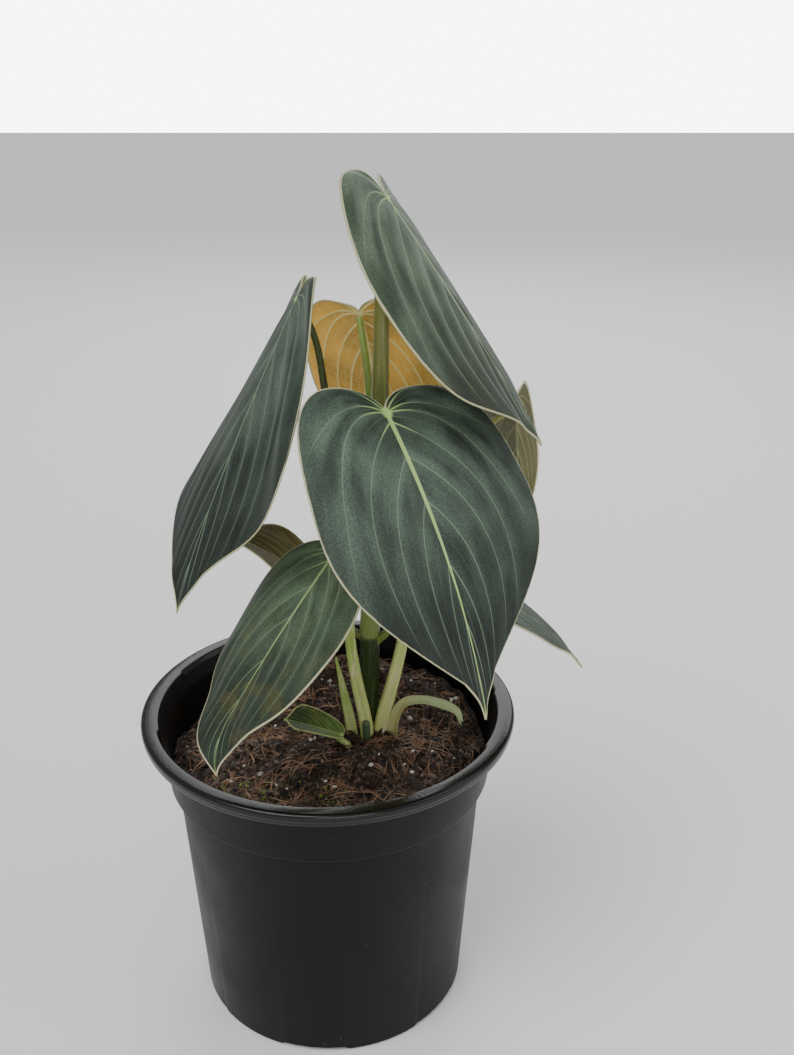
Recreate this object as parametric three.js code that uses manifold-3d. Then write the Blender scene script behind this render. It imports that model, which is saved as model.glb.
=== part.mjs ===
// Potted velvet-leaved philodendron in a nursery pot. Millimetres, +Z up.
// The origin is the middle of the pot's base, on the surface that it stands on.
// The camera of the photograph looks along +Y, so -Y is the front.
import * as THREE from 'three';
import Module from 'manifold-3d';

const wasm = await Module();
wasm.setup();

const GAP = 0.3; // clear space between neighbouring solids
const BLADE_HALF = 0.4; // half the thickness of a leaf blade
const rad = THREE.MathUtils.degToRad;

const COLOURS = {
  pot: 0x1b1a19,
  soil: 0x2b1d14,
  stem: 0x8fa06a,
  petiole: 0x6f7d3f,
  velvet: 0x2f4a3c,
  bronze: 0x6b6a35,
  gold: 0xb98f3a,
  pale: 0xa8b878,
};

const group = new THREE.Group();
group.name = 'potted_philodendron';

// Solids

function toManifold(points, triangles) {
  // Joins equal points, drops triangles that have collapsed, and makes a solid.
  const key = new Map();
  const verts = [];
  const index = points.map((p) => {
    const k = p.map((c) => Math.round(c * 1000)).join(',');
    if (!key.has(k)) {
      key.set(k, verts.length);
      verts.push(p);
    }
    return key.get(k);
  });
  const tris = [];
  for (const t of triangles) {
    const [a, b, c] = t.map((i) => index[i]);
    if (a !== b && b !== c && a !== c) tris.push(a, b, c);
  }
  return new wasm.Manifold(new wasm.Mesh({
    numProp: 3,
    vertProperties: new Float32Array(verts.flat()),
    triVerts: new Uint32Array(tris),
  }));
}

function mainPiece(solid) {
  // Drops the crumbs that a cut can leave beyond a blade.
  return solid.decompose().reduce((a, b) => (b.volume() > a.volume() ? b : a));
}

function addNode(name, solid, colour) {
  const m = solid.getMesh();
  const geometry = new THREE.BufferGeometry();
  geometry.setAttribute('position', new THREE.BufferAttribute(Float32Array.from(m.vertProperties), 3));
  geometry.setIndex(new THREE.BufferAttribute(Uint32Array.from(m.triVerts), 1));
  geometry.computeVertexNormals();
  const material = new THREE.MeshStandardMaterial({ color: colour, roughness: 0.6 });
  material.name = name;
  const mesh = new THREE.Mesh(geometry, material);
  mesh.name = name;
  group.add(mesh);
}

function lathe(profile, segments) {
  // A closed (r, z) profile turned about Z. Points at r = 0 become one point each.
  const points = [];
  const tris = [];
  const n = profile.length;
  for (let s = 0; s < segments; s += 1) {
    const a = (2 * Math.PI * s) / segments;
    for (const [r, z] of profile) points.push([r * Math.cos(a), r * Math.sin(a), z]);
  }
  for (let s = 0; s < segments; s += 1) {
    const s2 = (s + 1) % segments;
    for (let i = 0; i < n; i += 1) {
      const j = (i + 1) % n;
      const a = s * n + i;
      const b = s2 * n + i;
      const c = s2 * n + j;
      const d = s * n + j;
      tris.push([a, b, c], [a, c, d]);
    }
  }
  return toManifold(points, tris);
}

function tube(path, radii, { sides = 8, steps = 10, flat = 1, grow = 0 } = {}) {
  // A round or oval stalk along a smooth path. radii is spread evenly along it;
  // flat is the ratio of the oval's second half-axis to its first.
  const curve = new THREE.CatmullRomCurve3(path.map((p) => new THREE.Vector3(...p)), false, 'centripetal');
  const frames = curve.computeFrenetFrames(steps, false);
  const points = [];
  const tris = [];
  for (let i = 0; i <= steps; i += 1) {
    const u = i / steps;
    const c = curve.getPointAt(u);
    const f = u * (radii.length - 1);
    const k = Math.min(Math.floor(f), radii.length - 2);
    const r = radii[k] + (radii[k + 1] - radii[k]) * (f - k) + grow;
    const r2 = (r - grow) * flat + grow;
    const shift = grow * (i === 0 ? -1 : i === steps ? 1 : 0);
    for (let s = 0; s < sides; s += 1) {
      const a = (2 * Math.PI * (s + 0.5)) / sides;
      const p = c.clone()
        .addScaledVector(frames.normals[i], r * Math.cos(a))
        .addScaledVector(frames.binormals[i], r2 * Math.sin(a))
        .addScaledVector(frames.tangents[i], shift);
      points.push([p.x, p.y, p.z]);
    }
  }
  for (let i = 0; i < steps; i += 1) {
    for (let s = 0; s < sides; s += 1) {
      const s2 = (s + 1) % sides;
      const a = i * sides + s;
      const b = i * sides + s2;
      const c = (i + 1) * sides + s2;
      const d = (i + 1) * sides + s;
      tris.push([a, b, c], [a, c, d]);
    }
  }
  for (let s = 1; s < sides - 1; s += 1) {
    tris.push([0, s + 1, s]);
    tris.push([steps * sides, steps * sides + s, steps * sides + s + 1]);
  }
  return toManifold(points, tris);
}

// Leaf blades

function bezier(p, t) {
  const u = 1 - t;
  return [0, 1].map((k) => p[0][k] * u ** 3 + 3 * p[1][k] * t * u * u
    + 3 * p[2][k] * t * t * u + p[3][k] * t ** 3);
}

function halfOutline(leaf, width, lobe, per) {
  // The edge of one half of a heart-shaped blade, from the notch to the drip tip,
  // as (distance along the midrib, distance from the midrib).
  const { length: L, widest, belly, tipWidth, shoulder } = leaf;
  const W = width;
  const notch = 2;
  const chain = [
    [[-notch, 0], [-lobe * 0.75, W * 0.06 * shoulder], [-lobe, W * 0.22 * shoulder], [-lobe, W * 0.45 * shoulder]],
    [[-lobe, W * 0.45 * shoulder], [-lobe, W * 0.8 * shoulder], [widest * L * 0.35, W], [widest * L, W]],
    [[widest * L, W], [(widest + belly) * L, W], [0.72 * L, W * (tipWidth + 0.36)], [0.86 * L, W * tipWidth]],
    [[0.86 * L, W * tipWidth], [0.915 * L, W * tipWidth * 0.45], [0.96 * L, W * 0.03], [L, 0]],
  ];
  const out = [];
  chain.forEach((c, k) => {
    for (let i = k ? 1 : 0; i <= per; i += 1) out.push(bezier(c, i / per));
  });
  return out;
}

function midrib(leaf) {
  // Sweeps the midrib through its changing heading, slope and roll, and returns
  // a function of the distance along it that gives the point and its two axes.
  const N = 80;
  const L = leaf.length;
  const start = -Math.max(leaf.lobe[0], leaf.lobe[1]) * 1.02;
  const step = (L - start) / N;
  const at = (s) => {
    const x = s / L;
    const hook = leaf.hook * Math.min(Math.max((x - 0.7) / 0.3, 0), 1) ** 2;
    const az = rad(leaf.heading[0] + (leaf.heading[1] - leaf.heading[0]) * x + hook);
    const p = rad(leaf.droop[0] + (leaf.droop[1] - leaf.droop[0]) * x);
    const r = rad(leaf.roll[0] + (leaf.roll[1] - leaf.roll[0]) * x);
    const T = new THREE.Vector3(Math.cos(p) * Math.cos(az), Math.cos(p) * Math.sin(az), -Math.sin(p));
    const B = new THREE.Vector3(-Math.sin(az), Math.cos(az), 0);
    const up = T.clone().cross(B);
    const side = B.clone().multiplyScalar(Math.cos(r)).addScaledVector(up, Math.sin(r));
    const normal = up.clone().multiplyScalar(Math.cos(r)).addScaledVector(B, -Math.sin(r));
    return { T, side, normal };
  };
  const track = [new THREE.Vector3()];
  for (let i = 1; i <= N; i += 1) {
    const a = at(start + step * (i - 1)).T;
    const b = at(start + step * i).T;
    track.push(track[i - 1].clone().addScaledVector(a.add(b), step / 2));
  }
  const point = (s) => {
    const f = Math.min(Math.max((s - start) / step, 0), N - 1e-6);
    const k = Math.floor(f);
    return track[k].clone().lerp(track[k + 1], f - k);
  };
  const shift = new THREE.Vector3(...leaf.joint).sub(point(0));
  return (s) => ({ point: point(s).add(shift), ...at(s) });
}

function bladePoint(leaf, rib, s, w, hand, lift) {
  // One point of the blade: s along the midrib, w out from it, hand -1 or +1.
  // Each half leaves the midrib at its fold angle and curls on towards the edge.
  const h = hand < 0 ? 0 : 1;
  const fold = rad(leaf.fold[h]);
  const curl = rad(leaf.curl[h]) / leaf.width[h];
  const k = Math.abs(curl) < 1e-6 ? 1e-6 : curl;
  const turned = fold + k * w;
  const across = (Math.sin(turned) - Math.sin(fold)) / k;
  const rise = -(Math.cos(turned) - Math.cos(fold)) / k;
  const { point, side, normal } = rib(s);
  const mean = w < 1e-6 ? (rad(leaf.fold[0]) + rad(leaf.fold[1])) / 2 : turned;
  const thick = lift / Math.max(Math.cos(mean), 0.4);
  const p = point.addScaledVector(side, hand * across).addScaledVector(normal, rise + thick);
  return [p.x, p.y, p.z];
}

function blade(leaf, { per = 5, columns = [0, 0.36, 0.72, 1], half = BLADE_HALF } = {}) {
  // A thin solid with the same triangles on its upper and lower faces.
  const rib = midrib(leaf);
  const points = [];
  const tris = [];
  const edges = [0, 1].map((h) => halfOutline(leaf, leaf.width[h], leaf.lobe[h], per));
  const n = edges[0].length;
  const m = columns.length;
  // The foot of each row on the midrib is shared by the two halves.
  const feet = [];
  for (let i = 0; i < n; i += 1) {
    const t = i / (n - 1);
    const reach = Math.max(Math.min(edges[0][i][0], edges[1][i][0]), 0);
    const want = Math.min(Math.max((t - 0.3) / 0.7, 0) * leaf.length, reach);
    feet.push(Math.max(want, i ? feet[i - 1] : 0));
  }
  for (const hand of [-1, 1]) {
    const base = points.length;
    edges[hand < 0 ? 0 : 1].forEach(([s, w], i) => {
      for (const r of columns) {
        const S = feet[i] * (1 - r) + s * r;
        points.push(bladePoint(leaf, rib, S, w * r, hand, half));
        points.push(bladePoint(leaf, rib, S, w * r, hand, -half));
      }
    });
    const id = (i, j, low) => base + 2 * (i * m + j) + low;
    const put = (a, b, c) => tris.push(hand > 0 ? [a, b, c] : [a, c, b]);
    for (let i = 0; i < n - 1; i += 1) {
      for (let j = 0; j < m - 1; j += 1) {
        put(id(i, j, 0), id(i + 1, j, 0), id(i + 1, j + 1, 0));
        put(id(i, j, 0), id(i + 1, j + 1, 0), id(i, j + 1, 0));
        put(id(i, j, 1), id(i + 1, j + 1, 1), id(i + 1, j, 1));
        put(id(i, j, 1), id(i, j + 1, 1), id(i + 1, j + 1, 1));
      }
      const j = m - 1;
      put(id(i, j, 0), id(i + 1, j, 0), id(i + 1, j, 1));
      put(id(i, j, 0), id(i + 1, j, 1), id(i, j, 1));
    }
  }
  return toManifold(points, tris);
}

// Each leaf: joint is where the stalk meets the blade; heading is the compass
// direction of the midrib (from +X towards +Y) at the joint and the tip; droop
// is its slope below level; roll turns it about itself. The pairs of width,
// lobe, fold and curl are the two halves: the one on the right looking from the
// joint to the tip, then the left one. Angles in degrees.
const LEAVES = {
  front: {
    joint: [24, -19, 260], length: 115, heading: [-58, -45], droop: [40, 79], roll: [-6, 3],
    width: [46, 50], lobe: [11.5, 11], fold: [9, 2], curl: [-18, -10],
    widest: 0.34, belly: 0.23, tipWidth: 0.16, shoulder: 1, hook: 10, colour: COLOURS.velvet,
  },
  low_left: {
    joint: [4.6, -21, 206.3], length: 91.5, heading: [226, 221], droop: [38, 51], roll: [3, 16],
    width: [32, 32.5], lobe: [3.5, 5.5], fold: [10, 11], curl: [-33, -19],
    widest: 0.39, belly: 0.22, tipWidth: 0.33, shoulder: 0.6, hook: 78, colour: COLOURS.velvet,
  },
  left: {
    joint: [-8.5, 7, 294.5], length: 122.5, heading: [205.5, 232], droop: [62.5, 59.5], roll: [-1.5, -8],
    width: [52, 37], lobe: [8.5, 10.5], fold: [-18, 6], curl: [-28.5, 6],
    widest: 0.45, belly: 0.23, tipWidth: 0.23, shoulder: 0.6, hook: 17.5, colour: COLOURS.velvet,
  },
  top: {
    joint: [24.6, 7.6, 329.8], length: 106, heading: [-5, -7], droop: [55.5, 59], roll: [3.5, 2.5],
    width: [44, 43.5], lobe: [17, 8], fold: [-5, -2.5], curl: [-21, -24],
    widest: 0.37, belly: 0.23, tipWidth: 0.22, shoulder: 1, hook: -1, colour: COLOURS.velvet,
  },
  golden: {
    joint: [13.3, 41, 280.3], length: 86, heading: [62, 58.5], droop: [64.5, 83], roll: [-4, -1.5],
    width: [36, 29.5], lobe: [8.5, 5.5], fold: [6, 5], curl: [-14, -16.5],
    widest: 0.35, belly: 0.21, tipWidth: 0.2, shoulder: 1, hook: 0, colour: COLOURS.gold,
  },
  right_rear: {
    joint: [74, 30.6, 248.5], length: 80.5, heading: [78, 72.5], droop: [67.5, 65.5], roll: [-10, 8.5],
    width: [15, 24], lobe: [4, 4], fold: [60, 49], curl: [8, -1],
    widest: 0.41, belly: 0.22, tipWidth: 0.2, shoulder: 1, hook: 0, colour: COLOURS.bronze,
  },
  low_right: {
    joint: [53.9, 5, 182.8], length: 61.5, heading: [-5, -3], droop: [20, 54.5], roll: [-4.5, -10],
    width: [18.5, 21.5], lobe: [5, 5], fold: [1, 0], curl: [-8, -10],
    widest: 0.37, belly: 0.22, tipWidth: 0.2, shoulder: 1, hook: 0, colour: COLOURS.velvet,
  },
  young: {
    joint: [-2, 12, 173], length: 50, heading: [188, 198], droop: [-54, -23], roll: [-4, -14],
    width: [17, 19], lobe: [1.5, 1.5], fold: [17, 13], curl: [3, -3],
    widest: 0.45, belly: 0.22, tipWidth: 0.2, shoulder: 0.6, hook: 0, colour: COLOURS.bronze,
  },
  stub: {
    joint: [5, -7, 119.5], length: 24, heading: [176, 172], droop: [-22, -8], roll: [0, 0],
    width: [8.5, 7.5], lobe: [1, 1], fold: [34, 20], curl: [-14, -14],
    widest: 0.62, belly: 0.26, tipWidth: 0.72, shoulder: 0.6, hook: 0, colour: COLOURS.pale,
  },
};

// Pot

const POT = {
  height: 130,
  rimRadius: 75,
  lipHeight: 5.3,
  collarBottom: 102,
  collarRadius: 65, // at its lower edge
  collarTop: 67.2, // just under the lip
  underCollar: 61.9, // the wall below the collar's step
  lipInner: 69.2, // where the lip's top turns down into the pot
  baseRadius: 54.9,
  wall: 1.5,
  floorLow: 3.2, // the drained ring of the floor stands this far off the ground
  padRadius: 17,
};

function makePot() {
  const { height: H, rimRadius: R, lipHeight, collarBottom: zc, baseRadius: rb, wall: w } = POT;
  const { collarRadius: rc, collarTop: rt, underCollar: under, lipInner: ri } = POT;
  const lipLow = H - lipHeight;
  const profile = [
    // outside, from the middle of the underside up to the lip
    [0, 0], [POT.padRadius, 0], [POT.padRadius + 1.5, POT.floorLow], [rb - 4.6, POT.floorLow], [rb - 3.4, 0],
    [rb - 0.8, 0], [rb, 0.8], [under, zc - 1.6], [rc, zc], [rt, lipLow - 2.2], [R - 1.4, lipLow - 0.7],
    [R, lipLow + 1.2], [R, H - 1.8], [R - 1.4, H - 0.5], [R - 3.4, H],
    // over the lip and down the inside
    [ri, H], [ri - 1, H - 1], [ri - 1.4, H - 3], [rt - w - 0.4, lipLow - 2.4], [rc - w, zc + 0.6],
    [under - w, zc - 2], [rb - w + 0.2, POT.floorLow + w + 1], [rb - w - 1, POT.floorLow + w],
    [POT.padRadius + 2, POT.floorLow + w], [POT.padRadius - 0.5, w], [0, w],
  ];
  let pot = lathe(profile, 60);
  // Drain holes through the raised ring of the floor.
  const holes = 8;
  for (let i = 0; i < holes; i += 1) {
    const a = (2 * Math.PI * (i + 0.5)) / holes;
    const drill = wasm.Manifold.cylinder(12, 4.5, 4.5, 14)
      .translate([42 * Math.cos(a), 42 * Math.sin(a), -2]);
    pot = pot.subtract(drill);
  }
  // Arches in the foot ring, which leave feet on the ground between them.
  const arches = 6;
  for (let i = 0; i < arches; i += 1) {
    const turn = 360 * (i / arches) + 90 - 6;
    const cut = wasm.Manifold.cube([12, 27, 5], true).translate([rb - 1.5, 0, -0.6]).rotate([0, 0, turn]);
    pot = pot.subtract(cut);
  }
  // Wider lands at the inner edge of the rim, where it is gripped.
  const lands = [{ from: 158, to: 196 }, { from: -26, to: 9 }];
  for (const { from, to } of lands) {
    const pts = [];
    const steps = 7;
    for (let i = 0; i <= steps; i += 1) {
      const a = rad(from + ((to - from) * i) / steps);
      for (const [r, z] of [[ri - 2.4, H - 2.4], [ri, H - 2.4], [ri + 0.3, H - 0.02], [ri - 2.4, H - 0.02]]) {
        pts.push([r * Math.cos(a), r * Math.sin(a), z]);
      }
    }
    const tris = [];
    for (let i = 0; i < steps; i += 1) {
      for (let k = 0; k < 4; k += 1) {
        const k2 = (k + 1) % 4;
        tris.push([i * 4 + k, (i + 1) * 4 + k, (i + 1) * 4 + k2], [i * 4 + k, (i + 1) * 4 + k2, i * 4 + k2]);
      }
    }
    tris.push([0, 1, 2], [0, 2, 3]);
    const e = steps * 4;
    tris.push([e, e + 2, e + 1], [e, e + 3, e + 2]);
    let land = toManifold(pts, tris);
    if (land.volume() < 0) land = toManifold(pts, tris.map(([a, b, c]) => [a, c, b]));
    pot = pot.add(land);
  }
  return pot;
}

// Potting mix

function soilHeight(x, y) {
  // Level of the mix: a mound about the crown with a loose ridge round it, and lumps.
  const dx = x - 17;
  const dy = y - 2;
  const d = Math.hypot(dx, dy * 1.15);
  const mound = 5.5 * Math.exp(-((d / 30) ** 2));
  const ridge = 3.2 * Math.exp(-(((d - 21) / 7) ** 2)) * (0.6 + 0.4 * Math.cos(Math.atan2(dy, dx) + 1.1));
  const lumps = 1.3 * Math.sin(0.21 * x + 1.3) * Math.cos(0.19 * y - 0.4)
    + 0.9 * Math.sin(0.43 * x - 0.31 * y) + 0.5 * Math.cos(0.71 * y + 0.57 * x);
  return 109.5 + mound + ridge + lumps;
}

function makeSoil() {
  const rings = [8, 17, 26, 36, 47, 58];
  const seg = 60; // the same corners as the pot, so that the walls stay clear
  // Inner wall of the pot, from the floor up to the surface of the mix.
  const inner = (z) => {
    const low = POT.floorLow + POT.wall + 1;
    const zs = [low, POT.collarBottom - 2, POT.collarBottom + 0.6, 122];
    const rs = [POT.baseRadius + 0.2, POT.underCollar, POT.collarRadius, POT.collarTop - 0.4]
      .map((r) => r - POT.wall);
    for (let i = 0; i < 3; i += 1) {
      if (z <= zs[i + 1]) return rs[i] + ((rs[i + 1] - rs[i]) * (z - zs[i])) / (zs[i + 1] - zs[i]);
    }
    return rs[3];
  };
  const points = [[0, 0, soilHeight(0, 0)]];
  const tris = [];
  const clear = 0.45;
  for (const r of rings) {
    for (let s = 0; s < seg; s += 1) {
      const a = (2 * Math.PI * s) / seg;
      const x = r * Math.cos(a);
      const y = r * Math.sin(a);
      points.push([x, y, soilHeight(x, y)]);
    }
  }
  // Where the mix meets the wall, then the wall line down to the floor.
  const walls = ['top', POT.collarBottom + 0.9, POT.collarBottom - 2.4, POT.floorLow + POT.wall + 3];
  for (const level of walls) {
    for (let s = 0; s < seg; s += 1) {
      const a = (2 * Math.PI * s) / seg;
      let z = level;
      if (level === 'top') z = soilHeight(63 * Math.cos(a), 63 * Math.sin(a)) - 0.8;
      const r = inner(z) - clear - 0.25;
      points.push([r * Math.cos(a), r * Math.sin(a), z]);
    }
  }
  const bottom = points.length;
  const floor = POT.floorLow + POT.wall + 0.4;
  const rf = POT.baseRadius - POT.wall - 3;
  for (let s = 0; s < seg; s += 1) {
    const a = (2 * Math.PI * s) / seg;
    points.push([rf * Math.cos(a), rf * Math.sin(a), floor]);
  }
  points.push([0, 0, floor]);
  const loops = rings.length + walls.length + 1;
  for (let s = 0; s < seg; s += 1) {
    const s2 = (s + 1) % seg;
    tris.push([0, 1 + s, 1 + s2]);
    for (let l = 0; l < loops - 1; l += 1) {
      const a = 1 + l * seg + s;
      const b = 1 + l * seg + s2;
      const c = 1 + (l + 1) * seg + s2;
      const d = 1 + (l + 1) * seg + s;
      tris.push([a, d, c], [a, c, b]);
    }
    tris.push([bottom + s, points.length - 1, bottom + s2]);
  }
  return toManifold(points, tris);
}

// Stalks

function underside(leaf, inside) {
  // A point just inside the blade's lower face at the joint.
  const { point, normal } = midrib(leaf)(1.2);
  return point.addScaledVector(normal, -inside).toArray();
}

// The crown: a stout stem with the stalks of the upper leaves springing from it.
const STEM = { path: [[16, 14, 90], [16, 13.5, 120], [16.8, 12, 160], [17.5, 12.5, 206]], radii: [4.2, 4.1, 3.9, 3.6] };

const STALKS = {
  top: { path: [[17.5, 12.5, 206.4], [20.5, 12, 240], [21.8, 10.5, 275], [22.4, 9, 305]], radii: [3.6, 3.5, 3.1, 2.5, 1.5] },
  left: { path: [[17, 12.5, 178], [9.5, 12.5, 196], [3, 12, 232], [0.4, 11.8, 262], [-2.8, 10, 281]], radii: [2, 1.8, 1.6, 1.4, 1.1] },
  golden: { path: [[17.2, 12.3, 190], [19, 20, 204], [18.6, 26, 232], [16.2, 31, 260]], radii: [2, 1.9, 1.7, 1.5, 1.2] },
  right_rear: { path: [[17, 12.3, 168], [27, 13, 186], [44, 17, 214], [61, 25, 238]], radii: [1.9, 1.8, 1.6, 1.4, 1.1] },
  low_right: { path: [[16.8, 12, 150], [26, 9.5, 160], [37, 6.5, 171], [46, 5, 177]], radii: [1.7, 1.6, 1.4, 1.2, 1] },
  young: { path: [[16.6, 12, 152], [9, 12.5, 158], [3, 12.2, 165]], radii: [1.6, 1.4, 1.2, 0.9] },
  front: { path: [[20.9, 5, 92], [21.1, 5, 116], [25.5, 1, 138], [29.8, -2, 160], [33, -6, 195], [29.5, -9.5, 230]],
    radii: [2.6, 2.9, 2.5, 1.9, 1.6, 1.5, 1.2] },
  low_left: { path: [[15.4, 3, 92], [15.2, 2.8, 117], [11.6, -2, 142], [9.4, -5, 162], [8.8, -9.5, 185]],
    radii: [2.3, 2.5, 2.3, 2.1, 1.8, 1.3] },
  // what is left of the stalk of the cut leaf
  stub: { path: [[9.4, -4.6, 97], [9.2, -5.6, 108], [8, -6.4, 114.5]], radii: [1.6, 1.6, 1.5, 1.2] },
};

const SHEATHS = {
  // A short pointed sheath left of the crown.
  crown_sheath: { path: [[9.2, 4, 94], [9, 4, 115], [6.4, 1.2, 134], [3.5, -2, 152.5]], radii: [2, 2.1, 1.6, 0.6], flat: 0.6 },
  // A withered sheath that arches over and lies on the mix.
  withered_sheath: {
    path: [[25.8, 2, 100], [26.6, 1.4, 120], [30.5, -1, 131], [37, -2.5, 133.6], [45, -3.6, 132.4], [51.5, -4.6, 129.4], [53.4, -6, 124.5]],
    radii: [2, 2.4, 2.6, 2.6, 2.4, 2.1, 1.6], flat: 0.3,
  },
};

function stalk(entry, end, grow, steps) {
  const path = end ? [...entry.path, end] : entry.path;
  return tube(path, entry.radii, { sides: 8, steps, flat: entry.flat || 1, grow });
}

const stem = tube(STEM.path, STEM.radii, { sides: 12, steps: 6 });
const stemWide = tube(STEM.path, STEM.radii, { sides: 12, steps: 6, grow: GAP });
const blades = {};
const wideBlades = {};
for (const [name, leaf] of Object.entries(LEAVES)) {
  const small = leaf.length < 70;
  const form = small ? { per: 4, columns: [0, 0.5, 1] } : { per: 5, columns: [0, 0.36, 0.72, 1] };
  blades[name] = blade(leaf, form);
  wideBlades[name] = blade(leaf, { ...form, half: BLADE_HALF + GAP });
}

const stalks = {};
const taken = [stemWide];
for (const [name, entry] of Object.entries(STALKS)) {
  const end = underside(LEAVES[name], 0.2);
  const steps = entry.path.length * 3;
  let solid = stalk(entry, end, 0, steps);
  solid = solid.subtract(wideBlades[name]);
  for (const other of taken) solid = solid.subtract(other);
  stalks[name] = mainPiece(solid);
  taken.push(stalk(entry, end, GAP, steps));
}
const sheaths = {};
for (const [name, entry] of Object.entries(SHEATHS)) {
  let solid = stalk(entry, null, 0, entry.path.length * 2);
  for (const other of taken) solid = solid.subtract(other);
  sheaths[name] = mainPiece(solid);
  taken.push(stalk(entry, null, GAP, entry.path.length * 2));
}

let soil = makeSoil();
for (const other of taken) soil = soil.subtract(other);
soil = soil.subtract(wideBlades.stub);

addNode('pot', makePot(), COLOURS.pot);
addNode('potting_mix', mainPiece(soil), COLOURS.soil);
addNode('main_stem', stem, COLOURS.stem);
for (const [name, solid] of Object.entries(stalks)) addNode(`stalk_${name}`, solid, COLOURS.petiole);
for (const [name, solid] of Object.entries(sheaths)) addNode(name, solid, COLOURS.pale);
for (const [name, solid] of Object.entries(blades)) addNode(`blade_${name}`, solid, LEAVES[name].colour);

export default group;
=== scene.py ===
"""A potted philodendron with velvety heart-shaped leaves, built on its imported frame."""

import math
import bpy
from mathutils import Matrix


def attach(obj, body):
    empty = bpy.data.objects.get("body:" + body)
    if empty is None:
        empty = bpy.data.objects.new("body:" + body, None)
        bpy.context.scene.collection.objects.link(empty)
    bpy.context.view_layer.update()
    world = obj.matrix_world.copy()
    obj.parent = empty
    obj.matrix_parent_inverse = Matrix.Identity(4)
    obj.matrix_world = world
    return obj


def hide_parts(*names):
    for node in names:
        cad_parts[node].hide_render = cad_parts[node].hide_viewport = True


bl_info = {
    "name": "Potted philodendron",
    "version": (1, 0, 0),
    "blender": (4, 5, 0),
    "location": "View3D > Sidebar > Philodendron",
    "description": "Builds the pot, potting mix, stalks and velvet leaves on the packed frame",
    "category": "Object",
}

import bpy
import numpy as np

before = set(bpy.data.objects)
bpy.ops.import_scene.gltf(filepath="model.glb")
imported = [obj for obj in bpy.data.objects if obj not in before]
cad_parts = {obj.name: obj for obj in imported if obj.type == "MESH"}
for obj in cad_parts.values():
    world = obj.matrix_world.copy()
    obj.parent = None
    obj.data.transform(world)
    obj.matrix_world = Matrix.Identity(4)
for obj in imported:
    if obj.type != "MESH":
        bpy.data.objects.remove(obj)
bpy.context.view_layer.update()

MM = 0.001
BODY = "root"

# The side of the table of random heights, after which the noise repeats.
LATTICE = 64

# The pot, in millimetres, as the CAD has it.
POT_HEIGHT = 130.0
RIM_RADIUS = 75.0
LIP_LOW = POT_HEIGHT - 5.3
LIP_INNER = 69.2
COLLAR_LOW = 102.0
COLLAR_RADIUS = 65.0
COLLAR_TOP = 67.2
UNDER_COLLAR = 61.9
BASE_RADIUS = 54.9
WALL = 1.5
FLOOR_LOW = 3.2
PAD_RADIUS = 17.0
DRAIN_HOLES = 8
DRAIN_RING = 42.0
DRAIN_RADIUS = 4.5
SHARP_ANGLE = 40

# The arches between the feet: how many, the angle of the first one, how many degrees from
# its middle it ends and is full, and its height. Then the wider lands inside the rim: each
# from one angle to another, and how far they stand in. Angles are in degrees.
ARCHES = 6
ARCH_AT = 84
ARCH_EDGE = (14.8, 13.4)
ARCH_HEIGHT = 1.9
LANDS = ((158, 196), (334, 361), (-1, 9))
LAND_DEPTH = 1.0

# The mix, in millimetres: the crown's place, the level round it, how far from the pot's
# middle the surface and the loose bits reach, and the corner that bounds the moss.
CROWN = (17.0, 2.0)
MIX_LEVEL = 109.5
MIX_REACH = 63.9
BITS_REACH = 62.0
FIBRE_REACH = 59.0
DROP_REACH = 50.0
MOSS_CORNER = (8, -22)
MOSS_TRIES = 3600
DROPS = 40
BITS_SEED = 5

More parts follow.
